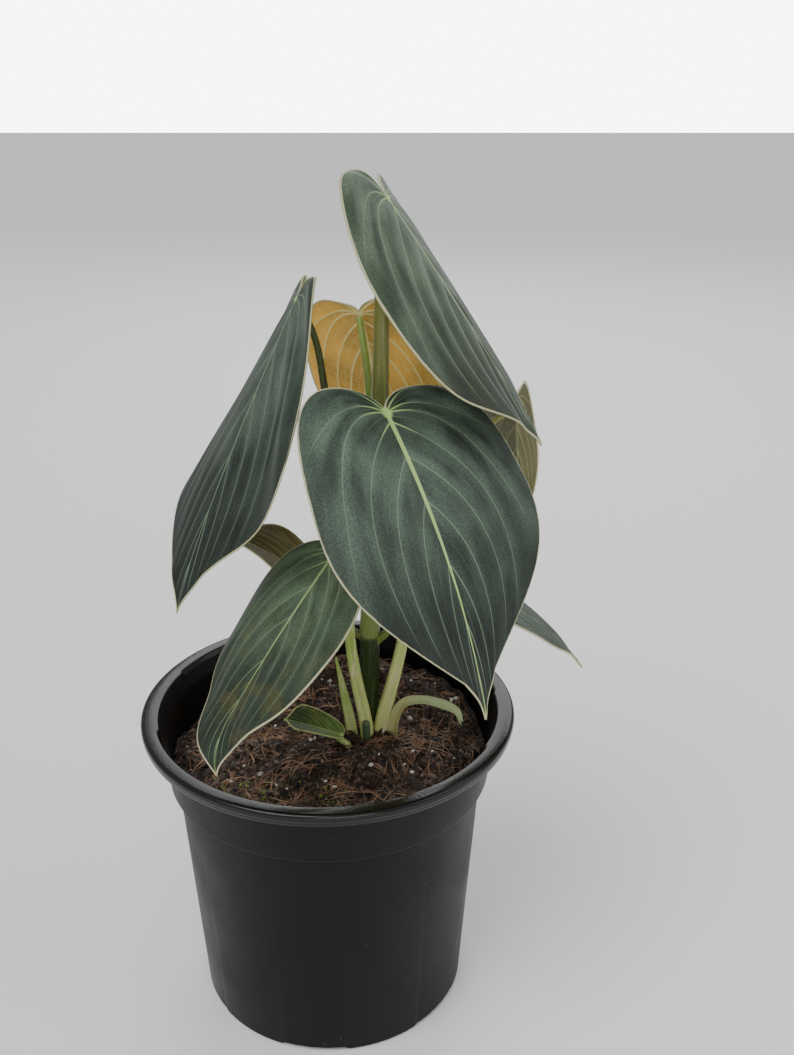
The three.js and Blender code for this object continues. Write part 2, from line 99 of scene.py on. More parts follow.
# The leaves, in millimetres and degrees. joint is where the stalk meets the blade;
# heading, droop and roll give the midrib's direction at the joint and at the tip. width,
# lobe, fold and curl give one value for each half, the right one first as seen from joint
# to tip. widest, belly, tip_width and shoulder shape the edge, and hook turns the tip.
LEAVES = {
    "front": dict(
        joint=(24, -19, 260), length=115, heading=(-58, -45), droop=(40, 79), roll=(-6, 3),
        width=(46, 50), lobe=(11.5, 11), fold=(9, 2), curl=(-18, -10),
        widest=0.34, belly=0.23, tip_width=0.16, shoulder=1.0, hook=10),
    "low_left": dict(
        joint=(4.6, -21, 206.3), length=91.5, heading=(226, 221), droop=(38, 51), roll=(3, 16),
        width=(32, 32.5), lobe=(3.5, 5.5), fold=(10, 11), curl=(-33, -19),
        widest=0.39, belly=0.22, tip_width=0.33, shoulder=0.6, hook=78),
    "left": dict(
        joint=(-8.5, 7, 294.5), length=122.5, heading=(205.5, 232), droop=(62.5, 59.5), roll=(-1.5, -8),
        width=(52, 37), lobe=(8.5, 10.5), fold=(-18, 6), curl=(-28.5, 6),
        widest=0.45, belly=0.23, tip_width=0.23, shoulder=0.6, hook=17.5),
    "top": dict(
        joint=(24.6, 7.6, 329.8), length=106, heading=(-5, -7), droop=(55.5, 59), roll=(3.5, 2.5),
        width=(44, 43.5), lobe=(17, 8), fold=(-5, -2.5), curl=(-21, -24),
        widest=0.37, belly=0.23, tip_width=0.22, shoulder=1.0, hook=-1),
    "golden": dict(
        joint=(13.3, 41, 280.3), length=86, heading=(62, 58.5), droop=(64.5, 83), roll=(-4, -1.5),
        width=(36, 29.5), lobe=(8.5, 5.5), fold=(6, 5), curl=(-14, -16.5),
        widest=0.35, belly=0.21, tip_width=0.2, shoulder=1.0, hook=0),
    "right_rear": dict(
        joint=(74, 30.6, 248.5), length=80.5, heading=(78, 72.5), droop=(67.5, 65.5), roll=(-10, 8.5),
        width=(15, 24), lobe=(4, 4), fold=(60, 49), curl=(8, -1),
        widest=0.41, belly=0.22, tip_width=0.2, shoulder=1.0, hook=0),
    "low_right": dict(
        joint=(53.9, 5, 182.8), length=61.5, heading=(-5, -3), droop=(20, 54.5), roll=(-4.5, -10),
        width=(18.5, 21.5), lobe=(5, 5), fold=(1, 0), curl=(-8, -10),
        widest=0.37, belly=0.22, tip_width=0.2, shoulder=1.0, hook=0),
    "young": dict(
        joint=(-2, 12, 173), length=50, heading=(188, 198), droop=(-54, -23), roll=(-4, -14),
        width=(17, 19), lobe=(1.5, 1.5), fold=(17, 13), curl=(3, -3),
        widest=0.45, belly=0.22, tip_width=0.2, shoulder=0.6, hook=0),
    "stub": dict(
        joint=(5, -7, 119.5), length=24, heading=(176, 172), droop=(-22, -8), roll=(0, 0),
        width=(8.5, 7.5), lobe=(1, 1), fold=(34, 20), curl=(-14, -14),
        widest=0.62, belly=0.26, tip_width=0.72, shoulder=0.6, hook=0),
}

# The finish of each leaf. Its colours are the velvet in its dark bands and in the lighter
# grey of its painted sheen, the underside, the side veins from above and from below, the
# margin, the midrib, the junction with the stalk and the blotches. blotches is how strong
# those are, sheen how strong the velvet's sheen is, and rib half the midrib's width at the
# joint, in millimetres.
GREEN = dict(dark=(0.012, 0.019, 0.013), light=(0.084, 0.120, 0.090), under=(0.120, 0.120, 0.045),
             vein=(0.18, 0.25, 0.16), under_vein=(0.34, 0.36, 0.16), margin=(0.50, 0.48, 0.29),
             midrib=(0.40, 0.56, 0.20), junction=(0.42, 0.64, 0.19), sheen=0.06, blotch=(0.05, 0.05, 0.02),
             blotches=0.0)
FINISH = {
    "front": dict(GREEN, rib=1.2, slot="leaf_velvet"),
    "low_left": dict(GREEN, dark=(0.020, 0.036, 0.020), light=(0.090, 0.135, 0.080), vein=(0.19, 0.26, 0.14),
                     midrib=(0.27, 0.38, 0.16), rib=0.75, blotch=(0.15, 0.13, 0.03), blotches=0.5,
                     slot="leaf_velvet"),
    "left": dict(GREEN, dark=(0.009, 0.017, 0.011), light=(0.080, 0.110, 0.082), vein=(0.14, 0.18, 0.13),
                 midrib=(0.16, 0.22, 0.14), rib=0.7, slot="leaf_velvet"),
    "top": dict(GREEN, dark=(0.018, 0.034, 0.018), light=(0.110, 0.150, 0.096), vein=(0.24, 0.32, 0.18),
                midrib=(0.30, 0.45, 0.17), rib=0.9, blotch=(0.055, 0.050, 0.016), blotches=0.45,
                sheen=0.2, slot="leaf_velvet"),
    # The golden underside is partly its own colour and partly painted light: it is brightened to stand in for
    # light shining through the blade.
    "golden": dict(GREEN, under=(0.78, 0.42, 0.065), under_vein=(0.90, 0.80, 0.34), rib=0.9,
                   slot="leaf_golden"),
    "right_rear": dict(GREEN, under=(0.085, 0.082, 0.028), under_vein=(0.18, 0.18, 0.065), rib=0.7,
                       slot="leaf_bronze"),
    "low_right": dict(GREEN, dark=(0.070, 0.098, 0.072), light=(0.17, 0.22, 0.17), vein=(0.22, 0.30, 0.20),
                      midrib=(0.34, 0.45, 0.26), rib=0.5, slot="leaf_velvet"),
    "young": dict(GREEN, dark=(0.11, 0.098, 0.034), light=(0.23, 0.20, 0.080), vein=(0.28, 0.28, 0.11),
                  under=(0.16, 0.15, 0.05), midrib=(0.42, 0.46, 0.22), rib=0.6, margin=(0.48, 0.56, 0.26),
                  slot="leaf_bronze"),
    "stub": dict(GREEN, dark=(0.030, 0.060, 0.010), light=(0.09, 0.15, 0.034), vein=(0.20, 0.28, 0.07),
                 under=(0.10, 0.17, 0.04), midrib=(0.30, 0.38, 0.12), rib=0.5, margin=(0.36, 0.42, 0.16),
                 blotch=(0.38, 0.28, 0.05), blotches=0.5, slot="leaf_cut"),
}

# The side veins of one half blade in their order from the notch to the tip: where each
# meets the edge, where it leaves the midrib, and how far and how early it aims outward.
VEIN_END = (0, 0.2, 0.42, 0.58, 0.68, 0.72, 0.76, 0.83, 0.9, 1, 1)
VEIN_FOOT = (0, 0, 0, 0, 0.03, 0.15, 0.3, 0.5, 0.68, 0.85, 1)
VEIN_REACH = (1, 1, 1, 0.95, 0.87, 0.72, 0.56, 0.5, 0.45, 0.45, 0.3)
VEIN_LEAD = (0, 0.1, 0.2, 0.26, 0.19, 0.16, 0.13, 0.12, 0.1, 0.1, 0.05)

# The UV map of a blade holds the row number over this, so that it stays below one.
ROWS_IN_UV = 12.0

# Blades longer than this get the finer grid, and the ruffle and the vein pattern have
# their full size on blades of these lengths.
LARGE_BLADE = 70
RUFFLE_LENGTH = 115
PATTERN_LENGTH = 110

STEM = dict(path=[(16, 14, 90), (16, 13.5, 120), (16.8, 12, 160), (17.5, 12.5, 206)],
            radii=(4.2, 4.1, 3.9, 3.6))

# Stalks from the crown to each blade: points and radii along each.
STALKS = {
    "top": dict(path=[(17.5, 12.5, 204), (20.5, 12, 240), (21.8, 10.5, 275), (22.4, 9, 305)],
                radii=(3.6, 3.5, 3.1, 2.5, 1.5)),
    "left": dict(path=[(17, 12.5, 178), (9.5, 12.5, 196), (3, 12, 232), (0.4, 11.8, 262), (-2.8, 10, 281)],
                 radii=(2, 1.8, 1.6, 1.4, 1.1)),
    "golden": dict(path=[(17.2, 12.3, 190), (19, 20, 204), (18.6, 26, 232), (16.2, 31, 260)],
                   radii=(2, 1.9, 1.7, 1.5, 1.2)),
    "right_rear": dict(path=[(17, 12.3, 168), (27, 13, 186), (44, 17, 214), (61, 25, 238)],
                       radii=(1.9, 1.8, 1.6, 1.4, 1.1)),
    "low_right": dict(path=[(16.8, 12, 150), (26, 9.5, 160), (37, 6.5, 171), (46, 5, 177)],
                      radii=(1.7, 1.6, 1.4, 1.2, 1)),
    "young": dict(path=[(16.6, 12, 152), (9, 12.5, 158), (3, 12.2, 165)], radii=(1.6, 1.4, 1.2, 0.9)),
    "front": dict(path=[(20.9, 5, 92), (21.1, 5, 116), (25.5, 1, 138), (29.8, -2, 160), (33, -6, 195),
                        (29.5, -9.5, 230)], radii=(2.6, 2.9, 2.5, 1.9, 1.6, 1.5, 1.2)),
    "low_left": dict(path=[(15.4, 3, 92), (15.2, 2.8, 117), (11.6, -2, 142), (9.4, -5, 162),
                           (8.8, -9.5, 185)], radii=(2.7, 2.8, 2.5, 2.1, 1.8, 1.3)),
    "stub": dict(path=[(9.4, -4.6, 97), (9.2, -5.6, 108), (8, -6.4, 114.5)], radii=(1.6, 1.6, 1.5, 1.2)),
}
CROWN_SHEATH = dict(path=[(9.2, 4, 94), (9, 4, 115), (6.4, 1.2, 134), (3.5, -2, 152.5)],
                    radii=(2.6, 2.5, 1.8, 0.4), flat=0.6)
WITHERED_SHEATH = dict(path=[(25.8, 2, 100), (26.6, 1.4, 120), (30.5, -1, 131), (37, -2.5, 133.6),
                             (45, -3.6, 132.4), (51.5, -4.6, 129.4), (53.4, -6, 124.5)],
                       radii=(3, 3.2, 3, 2.2, 1.9, 2.2, 1.2))
CUT_STUB = dict(path=[(15.4, -1.6, 108), (15.4, -1.8, 115), (15.2, -2.2, 122.5)], radii=(1.5, 1.5, 1.6))

# The skins of stem, stalks and sheaths: the colour at the foot and at the top, and of the
# streaks. switch is where along the stalk the first colour gives way to the second,
# streaks how strong the streaks are, and rough the roughness.
SKINS = {
    "stem_skin": dict(low=(0.022, 0.042, 0.011), high=(0.22, 0.29, 0.08), streak=(0.10, 0.13, 0.045),
                      switch=(0.556, 0.574), streaks=0.35),
    # The pale stalks' foot and streak colours are partly their own pale colour and partly painted light:
    # brightened to stand in for light that the leaves above keep from the stalk bases.
    "stalk_pale": dict(low=(0.68, 0.76, 0.28), high=(0.30, 0.42, 0.09), streak=(0.85, 0.68, 0.50),
                       switch=(0.2, 0.7), streaks=0.7),
    "stalk_olive": dict(low=(0.12, 0.14, 0.03), high=(0.17, 0.18, 0.035), streak=(0.26, 0.28, 0.08)),
    "stalk_green": dict(low=(0.16, 0.22, 0.05), high=(0.22, 0.32, 0.06), streak=(0.32, 0.38, 0.12)),
    "stalk_dark": dict(low=(0.09, 0.11, 0.03), high=(0.055, 0.080, 0.020), streak=(0.13, 0.17, 0.05)),
    "sheath_green": dict(low=(0.58, 0.66, 0.26), high=(0.36, 0.50, 0.13), streak=(0.70, 0.62, 0.42)),
    "sheath_dry": dict(low=(0.62, 0.60, 0.28), high=(0.36, 0.43, 0.22), streak=(0.30, 0.30, 0.14),
                       rough=0.6, streaks=0.25),
    "stub_green": dict(low=(0.06, 0.09, 0.04), high=(0.08, 0.13, 0.07), streak=(0.16, 0.20, 0.12)),
}

# Colours that are laid over a finish: flecks on stalks, bloom and dust on the pot, and red
# coir and green algae on the mix.
FLECK = (0.42, 0.44, 0.2)
BLOOM = (0.016, 0.014, 0.012)
DUST = (0.35, 0.33, 0.3)
COIR_RED = (0.15, 0.075, 0.045)
ALGAE = (0.06, 0.085, 0.015)

# The camera that fits the pot's outline in the photograph, in millimetres and degrees.
CAMERA_PLACE = (27.7, -453.4, 406.3)
CAMERA_PITCH = 23.61
CAMERA_LENS = 44.36
SENSOR_WIDTH = 36.0

# One broad sun from the upper left and three soft panels, in metres: kind, place, size
# (the sun's is its angle in radians) and power. They point at LAMP_AIM.
LAMPS = {
    "key": ("SUN", (-0.5, -0.6, 1.35), 0.7, 1.7),
    "front": ("AREA", (0.25, -1.25, 0.55), 0.7, 5.0),
    "fill": ("AREA", (0.95, -0.2, 0.75), 0.8, 2.5),
    "back": ("AREA", (0.1, 1.1, 0.9), 0.9, 6.0),
}
LAMP_AIM = (0, 0, 0.18)

# The backdrop: its colour, and its strength as a light and to the camera.
BACKDROP = (0.97, 0.98, 1.0, 1.0)
BACKDROP_LIGHT = 0.42
BACKDROP_SEEN = 8.0
FLOOR_REACH = 3000
FLOOR_LINES = 13
FLOOR_PATCH = (0.8, 0.79, 0.78)


# Shapes


def smoothstep(low, high, x):
    """0 below low, 1 above high, and 3u^2 - 2u^3 between, where u runs from 0 to 1. Where
    low is above high, it falls instead of rising."""
    u = np.clip((x - low) / (high - low), 0, 1)
    return u * u * (3 - 2 * u)


def value_noise(x, y, cell, seed):
    """Random heights from -1 to 1 on a square lattice of the given cell, blended smoothly
    between its corners."""
    rng = np.random.default_rng(seed)
    table = rng.uniform(-1, 1, (LATTICE, LATTICE))
    u = x / cell
    v = y / cell
    i = np.floor(u).astype(int)
    j = np.floor(v).astype(int)
    a = smoothstep(0, 1, u - i)
    b = smoothstep(0, 1, v - j)

    def at(p, q):
        return table[p % LATTICE, q % LATTICE]

    low = at(i, j) * (1 - a) + at(i + 1, j) * a
    high = at(i, j + 1) * (1 - a) + at(i + 1, j + 1) * a
    return low * (1 - b) + high * b


def grid_quads(rows, cols, close_rows=False, close_cols=False):
    """Quads of a rows by cols grid of points, numbered row by row."""
    i = np.arange(rows if close_rows else rows - 1)
    j = np.arange(cols if close_cols else cols - 1)
    i, j = np.meshgrid(i, j, indexing="ij")
    i2 = (i + 1) % rows
    j2 = (j + 1) % cols
    return np.stack([i * cols + j, i2 * cols + j, i2 * cols + j2, i * cols + j2], -1).reshape(-1, 4)


def make_piece(name, points, quads, materials, uv=None, fields=None, slots=None, smooth=True, angle=None):
    """Makes a mesh from points in millimetres. Equal points are joined, and a quad that
    has lost a corner becomes a triangle. uv has one pair per quad corner; fields are named
    values per point; slots give each quad's material."""
    key = np.round(points * 2000).astype(np.int64)
    _, first, inverse = np.unique(key, axis=0, return_index=True, return_inverse=True)
    inverse = inverse.reshape(-1)
    joined = inverse[quads]
    keep = joined != np.roll(joined, 1, axis=1)
    count = keep.sum(1)
    mesh = bpy.data.meshes.new(name)
    faces = []
    corners = []
    face_slots = []
    for sides in (4, 3):
        pick = count == sides
        mask = keep[pick]
        faces += joined[pick][mask].reshape(-1, sides).tolist()
        if uv is not None:
            corners.append(uv[pick][mask].reshape(-1, 2))
        if slots is not None:
            face_slots.append(slots[pick])
    mesh.from_pydata((points[first] * MM).tolist(), [], faces)
    for material in materials:
        mesh.materials.append(material)
    if uv is not None:
        layer = mesh.uv_layers.new(name="UVMap")
        layer.data.foreach_set("uv", np.concatenate(corners).ravel().astype(np.float32))
    if slots is not None:
        mesh.polygons.foreach_set("material_index", np.concatenate(face_slots).astype(np.int32))
    for field, values in (fields or {}).items():
        data = mesh.attributes.new(field, "FLOAT", "POINT").data
        data.foreach_set("value", np.asarray(values, np.float32)[first])
    mesh.polygons.foreach_set("use_smooth", np.full(len(mesh.polygons), smooth))
    mesh.update()
    if angle is not None:
        mesh.set_sharp_from_angle(angle=math.radians(angle))
    obj = bpy.data.objects.new(name, mesh)
    bpy.context.scene.collection.objects.link(obj)
    return obj


def finish_piece(obj, slot, *nodes):
    """The piece rides on the one body and stands for the named CAD nodes. Its slot is not used."""
    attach(obj, BODY)
    if nodes:
        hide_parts(*nodes)
    return obj


def smooth_path(points, count):
    """A centripetal Catmull-Rom curve through the points, read at count places spaced
    evenly along its length. Between two points it is the cubic whose end slopes come from
    the neighbours, each weighted by the square root of its distance."""
    p = np.asarray(points, float)
    p = np.vstack([2 * p[0] - p[1], p, 2 * p[-1] - p[-2]])
    t = np.linspace(0, len(p) - 3, 600)
    k = np.minimum(t.astype(int), len(p) - 4)
    u = (t - k)[:, None]
    x0, x1, x2, x3 = (p[k + n] for n in range(4))
    d0, d1, d2 = (np.linalg.norm(b - a, axis=1)[:, None] ** 0.5 for a, b in ((x0, x1), (x1, x2), (x2, x3)))
    s1 = ((x1 - x0) / d0 - (x2 - x0) / (d0 + d1) + (x2 - x1) / d1) * d1
    s2 = ((x2 - x1) / d1 - (x3 - x1) / (d1 + d2) + (x3 - x2) / d2) * d1
    curve = x1 + s1 * u + (-3 * x1 + 3 * x2 - 2 * s1 - s2) * u**2 + (2 * x1 - 2 * x2 + s1 + s2) * u**3
    run = np.concatenate([[0], np.cumsum(np.linalg.norm(np.diff(curve, axis=0), axis=1))])
    want = np.linspace(0, run[-1], count)
    return np.stack([np.interp(want, run, curve[:, c]) for c in range(3)], 1)


def tube(points, radii, sides=28, count=90, flat=1.0, groove=0.0, wobble=0.0, seed=1):
    """A round or oval stalk: at each place along the path, a ring of radius r(u) whose
    second axis is flat times the first. A groove of the given depth runs up one side and
    closes towards the end; wobble adds slight random swelling. The ends close in a dome.
    Returns points, quads, uv and the way along from 0 to 1."""
    path = smooth_path(points, count)
    tangent = np.gradient(path, axis=0)
    tangent /= np.linalg.norm(tangent, axis=1)[:, None]
    across = np.cross(tangent, (0, 1, 0))
    across /= np.linalg.norm(across, axis=1)[:, None]
    up = np.cross(tangent, across)
    u = np.linspace(0, 1, count)
    r = np.interp(u * (len(radii) - 1), np.arange(len(radii)), radii)
    r = np.convolve(np.pad(r, 4, mode="edge"), np.ones(9) / 9, mode="valid")
    # Domes: the first and last ring are repeated, pushed out and shrunk to a point.
    dome = np.array([0.0, 0.35, 0.7, 0.92])
    rings = len(dome)
    rise = 0.5 * np.sqrt(1 - dome**2)
    path = np.vstack([path[:1] - tangent[:1] * (r[0] * rise)[:, None], path,
                      path[-1:] + tangent[-1:] * (r[-1] * rise[::-1])[:, None]])
    across = np.vstack([np.repeat(across[:1], rings, 0), across, np.repeat(across[-1:], rings, 0)])
    up = np.vstack([np.repeat(up[:1], rings, 0), up, np.repeat(up[-1:], rings, 0)])
    r = np.concatenate([r[0] * dome, r, r[-1] * dome[::-1]])
    u = np.concatenate([np.zeros(rings), u, np.ones(rings)])
    a = np.linspace(0, 2 * np.pi, sides, endpoint=False)
    away = np.abs((a - np.pi / 2 + np.pi) % (2 * np.pi) - np.pi)
    closing = smoothstep(1.0, 0.55, u)[:, None]
    shape = (1 - groove * np.exp(-((away / 0.42) ** 2)) * closing
             + 0.35 * groove * np.exp(-(((away - 0.75) / 0.25) ** 2)) * closing)
    bump = 1 + wobble * value_noise(a[None, :] * 2, u[:, None] * 40, 1.0, seed)
    ring = r[:, None] * shape * bump
    grid = (path[:, None] + across[:, None] * (ring * np.cos(a))[..., None]
            + up[:, None] * (ring * np.sin(a) * flat)[..., None])
    rows = len(u)
    quads = grid_quads(rows, sides, close_cols=True)
    turn = np.stack(np.broadcast_arrays(a[None, :] / (2 * np.pi), u[:, None]), -1).reshape(-1, 2)
    uv = turn[quads]
    wrap = uv[:, 2:, 0] < 0.01
    uv[:, 2:, 0][wrap & (uv[:, :1, 0] > 0.5)] = 1.0
    along = np.broadcast_to(u[:, None], (rows, sides)).reshape(-1)
    return grid.reshape(-1, 3), quads[:, ::-1], uv[:, ::-1], along


def ribbon(points, radii, thick=0.4, turn=0.9, tilt=0.8, sides=16, count=150, seed=3):
    """A thin dry strip: across each place of the path an arc of a circle as wide as twice
    the radius, closed by its own back at a small distance. The strip leans by the tilt and
    its edges curl up by the turn (radians), more towards the end, whose edge is torn.
    Returns points, quads and the way along from 0 to 1."""
    path = smooth_path(points, count)
    tangent = np.gradient(path, axis=0)
    tangent /= np.linalg.norm(tangent, axis=1)[:, None]
    across = np.cross(tangent, (0, 1, 0))
    across /= np.linalg.norm(across, axis=1)[:, None]
    flat = np.cross(across, tangent)
    leaning = flat * math.cos(tilt) + across * math.sin(tilt)
    across = across * math.cos(tilt) - flat * math.sin(tilt)
    u = np.linspace(0, 1, count)
    v = np.linspace(-1, 1, sides)
    half = np.interp(u * (len(radii) - 1), np.arange(len(radii)), radii)[:, None]
    bend = turn * (0.5 + 0.5 * u[:, None])
    wide = half * np.sin(v * bend) / bend
    crinkle = 0.25 * value_noise(v[None] * 1.6, u[:, None] * 14, 1.0, seed)
    high = half * (1 - np.cos(v * bend)) / bend + crinkle
    torn = (u[:, None] ** 10) * (1.6 * value_noise(v * 3.1, 0 * v, 1.0, seed + 1) - 0.8)[None]
    sheet = (path[:, None] + leaning[:, None] * wide[..., None] + across[:, None] * high[..., None]
             + tangent[:, None] * torn[..., None])
    apart = across[:, None] * thick / 2
    both = np.concatenate([sheet + apart, (sheet - apart)[:, ::-1]], 1)
    quads = grid_quads(count, 2 * sides, close_cols=True)
    loop = np.arange(sides - 1)
    cap = np.stack([loop, loop + 1, 2 * sides - 2 - loop, 2 * sides - 1 - loop], -1)
    quads = np.concatenate([quads[:, ::-1], cap[:, ::-1], cap + (count - 1) * 2 * sides])
    return both.reshape(-1, 3), quads, np.repeat(u, 2 * sides)


def outline(leaf, hand, t):
    """The edge of one half of a blade at t, from the notch (0) to the drip tip (1), as
    distance along the midrib and out from it: four cubic Bezier arcs, a quarter of t each."""
    length = leaf["length"]
    wide = leaf["width"][hand]
    lobe = leaf["lobe"][hand]
    widest, belly, tip, round_ = (leaf[k] for k in ("widest", "belly", "tip_width", "shoulder"))
    chain = np.array([
        [(-2, 0), (-lobe * 0.75, wide * 0.06 * round_), (-lobe, wide * 0.22 * round_),
         (-lobe, wide * 0.45 * round_)],
        [(-lobe, wide * 0.45 * round_), (-lobe, wide * 0.8 * round_), (widest * length * 0.35, wide),
         (widest * length, wide)],
        [(widest * length, wide), ((widest + belly) * length, wide), (0.72 * length, wide * (tip + 0.36)),
         (0.86 * length, wide * tip)],
        [(0.86 * length, wide * tip), (0.915 * length, wide * tip * 0.45), (0.96 * length, wide * 0.03),
         (length, 0)],
    ])
    k = np.minimum((np.clip(t, 0, 1) * 4).astype(int), 3)
    u = (np.clip(t, 0, 1) * 4 - k)[:, None]
    a, b, c, d = (chain[k, n] for n in range(4))
    return a * (1 - u) ** 3 + 3 * b * u * (1 - u) ** 2 + 3 * c * u**2 * (1 - u) + d * u**3


def midrib(leaf):
    """The midrib as a function of the distance s along it. Its heading, droop and roll
    change evenly with s, and the place is the sum of the direction from the joint on.
    Returns a function that gives place, sideways and upward directions for an array of s."""
    length = leaf["length"]
    start = -max(leaf["lobe"]) * 1.02

    def directions(s):
        x = s / length
        hook = leaf["hook"] * np.clip((x - 0.7) / 0.3, 0, 1) ** 2
        heading, droop, roll = (np.radians(leaf[k][0] + (leaf[k][1] - leaf[k][0]) * x)
                                for k in ("heading", "droop", "roll"))
        heading = heading + np.radians(hook)
        level_part = np.cos(droop)
        along = np.stack([level_part * np.cos(heading), level_part * np.sin(heading), -np.sin(droop)], -1)
        level = np.stack([-np.sin(heading), np.cos(heading), np.zeros_like(heading)], -1)
        over = np.cross(along, level)
        c = np.cos(roll)[..., None]
        d = np.sin(roll)[..., None]
        return along, level * c + over * d, over * c - level * d

    knots = np.linspace(start, length, 81)
    along = directions(knots)[0]
    track = np.vstack([np.zeros(3), np.cumsum((along[1:] + along[:-1]) / 2 * (knots[1] - knots[0]), axis=0)])

    def place(s):
        return np.stack([np.interp(s, knots, track[:, c]) for c in range(3)], -1)

    shift = np.array(leaf["joint"], float) - place(np.array([0.0]))[0]

    def rib(s):
        _, side, normal = directions(s)
        return place(s) + shift, side, normal

    return rib


def eased(table, q):
    """Reads a table of evenly spaced values at q with a smooth curve that never overshoots:
    a cubic between two values, whose slope at each is the harmonic mean of the steps beside
    it, or level where the steps change sign."""
    y = np.asarray(table, float)
    step = np.diff(y)
    both = step[:-1] * step[1:]
    inner = np.where(both > 0, 2 * both / np.where(both > 0, step[:-1] + step[1:], 1), 0)
    slope = np.concatenate([[step[0]], inner, [step[-1]]])
    k = np.minimum(q.astype(int), len(y) - 2)
    u = q - k
    return (y[k] * (1 + 2 * u) * (1 - u) ** 2 + slope[k] * u * (1 - u) ** 2
            + y[k + 1] * u**2 * (3 - 2 * u) + slope[k + 1] * u**2 * (u - 1))


def blade_rows(leaf, q, r):
    """Rows that run as the side veins do, numbered by q: each leaves the midrib at a foot,
    aims at an earlier point of the edge and bends forward to its own point, as a quadratic
    Bezier arc in r. Returns, for the two halves, distance along the midrib and out from it."""
    t = eased(VEIN_END, q)
    foot = leaf["length"] * eased(VEIN_FOOT, q)
    start = np.stack([foot, np.zeros_like(foot)], -1)[:, None]
    reach = eased(VEIN_REACH, q)[:, None, None]
    early = t - eased(VEIN_LEAD, q)
    halves = []
    r = r[None, :, None]
    for hand in (0, 1):
        edge = outline(leaf, hand, t)[:, None]
        aim = start + reach * (outline(leaf, hand, early)[:, None] - start)
        halves.append(start * (1 - r) ** 2 + 2 * aim * r * (1 - r) + edge * r**2)
    return halves


def blade_place(leaf, rib, hand, s, w):
    """Lays the flat half blade over its section: it leaves the midrib at the fold angle and
    turns evenly by the curl up to the edge, so the section is an arc of a circle.
    Returns place, the midrib's upward direction and the section's turn."""
    fold = math.radians(leaf["fold"][hand])
    curl = math.radians(leaf["curl"][hand]) / leaf["width"][hand]
    curl = curl if abs(curl) > 1e-6 else 1e-6
    turned = fold + curl * w
    out = (np.sin(turned) - math.sin(fold)) / curl
    rise = -(np.cos(turned) - math.cos(fold)) / curl
    place, side, normal = rib(s)
    sign = -1 if hand == 0 else 1
    return place + side * (sign * out)[..., None] + normal * rise[..., None], normal, turned


def blade_surface(leaf, rows_per_vein=9, cols=34, quilt=0.05, ruffle=0.7, waves=4.5, rib_size=1.0, half=0.3):
    """A closed thin blade. Between veins it swells by quilt times the spacing of the veins,
    and the edge waves by ruffle millimetres. Below, midrib and veins stand out as ribs.
    Returns what make_piece needs."""
    veins = len(VEIN_END) - 1
    rows = veins * rows_per_vein + 1
    q = np.linspace(0, veins, rows)
    t = eased(VEIN_END, q)
    x = np.linspace(0, 1, cols)
    r = 0.5 * x + 0.5 * smoothstep(0, 1, x)
    halves = blade_rows(leaf, q, r)
    rib = midrib(leaf)
    points = []
    fields = {"pitch": [], "edge": [], "mid": [], "along": [], "span": [], "hand": []}
    for hand in (0, 1):
        s = halves[hand][..., 0]
        w = halves[hand][..., 1]
        place, normal, turned = blade_place(leaf, rib, hand, s, w)
        flat = halves[hand]
        row_way = np.gradient(flat, r, axis=1)
        row_way /= np.maximum(np.linalg.norm(row_way, axis=-1), 1e-6)[..., None]
        step = np.gradient(flat, q, axis=0)
        pitch = np.abs(step[..., 0] * row_way[..., 1] - step[..., 1] * row_way[..., 0])
        rim = outline(leaf, hand, np.linspace(0, 1, 500))
        gap = np.linalg.norm(flat[:, :, None] - rim[None, None], axis=-1).min(-1)
        between = 1 - (2 * np.abs(q - np.floor(q) - 0.5)) ** 2
        fade = smoothstep(0, 0.16, r)[None] * smoothstep(1.0, 0.8, r)[None]
        swell = quilt * pitch * between[:, None] * fade
        wave = (ruffle * np.sin(2 * np.pi * waves * t + 2.1 * hand + leaf["length"]) * np.sin(np.pi * t))
        wave = wave[:, None] * r[None] ** 3
        spine = np.exp(-((w / (0.9 * rib_size)) ** 2)) * np.clip(1 - 0.75 * s / leaf["length"], 0.1, 1)
        spine = spine * smoothstep(-3.5, 0.5, s)
        near = (0.5 - np.abs(q - np.floor(q) - 0.5))[:, None] * pitch
        ridge = 0.28 * rib_size * np.exp(-((near / 0.45) ** 2)) * fade
        thin = np.maximum(np.cos(np.where(w < 1e-6, np.mean(np.radians(leaf["fold"])), turned)), 0.4)
        top = swell + wave - 0.22 * rib_size * spine + half / thin
        low = swell + wave - 0.85 * rib_size * spine - ridge - half / thin
        points += [place + normal * top[..., None], place + normal * low[..., None]]
        for name, values in (("pitch", pitch), ("edge", gap), ("mid", w), ("along", s / leaf["length"]),
                             ("span", np.hypot(s, w)), ("hand", 0 * w + hand)):
            fields[name] += [values, values]
    size = rows * cols
    quads = grid_quads(rows, cols)
    pairs = np.stack([np.repeat(q / ROWS_IN_UV, cols), np.tile(r, rows)], -1)
    parts = []
    uvs = []
    slots = []
    for hand in (0, 1):
        for under in (0, 1):
            face = quads + size * (2 * hand + under)
            corner = pairs[quads]
            if hand == under:
                face = face[:, ::-1]
                corner = corner[:, ::-1]
            parts.append(face)
            uvs.append(corner)
            slots.append(np.full(len(face), under))
        i = np.arange(rows - 1)
        a = i * cols + cols - 1
        rim = np.stack([a, a + cols, a + cols + size, a + size], -1) + size * 2 * hand
        corner = pairs[np.stack([a, a + cols, a + cols, a], -1)]
        if hand == 0:
            rim = rim[:, ::-1]
            corner = corner[:, ::-1]
        parts.append(rim)
        uvs.append(corner)
        slots.append(np.zeros(len(rim)))
    points = np.concatenate([p.reshape(-1, 3) for p in points])
    fields = {k: np.concatenate([v.ravel() for v in values]) for k, values in fields.items()}
    return points, np.concatenate(parts), np.concatenate(uvs), fields, np.concatenate(slots)


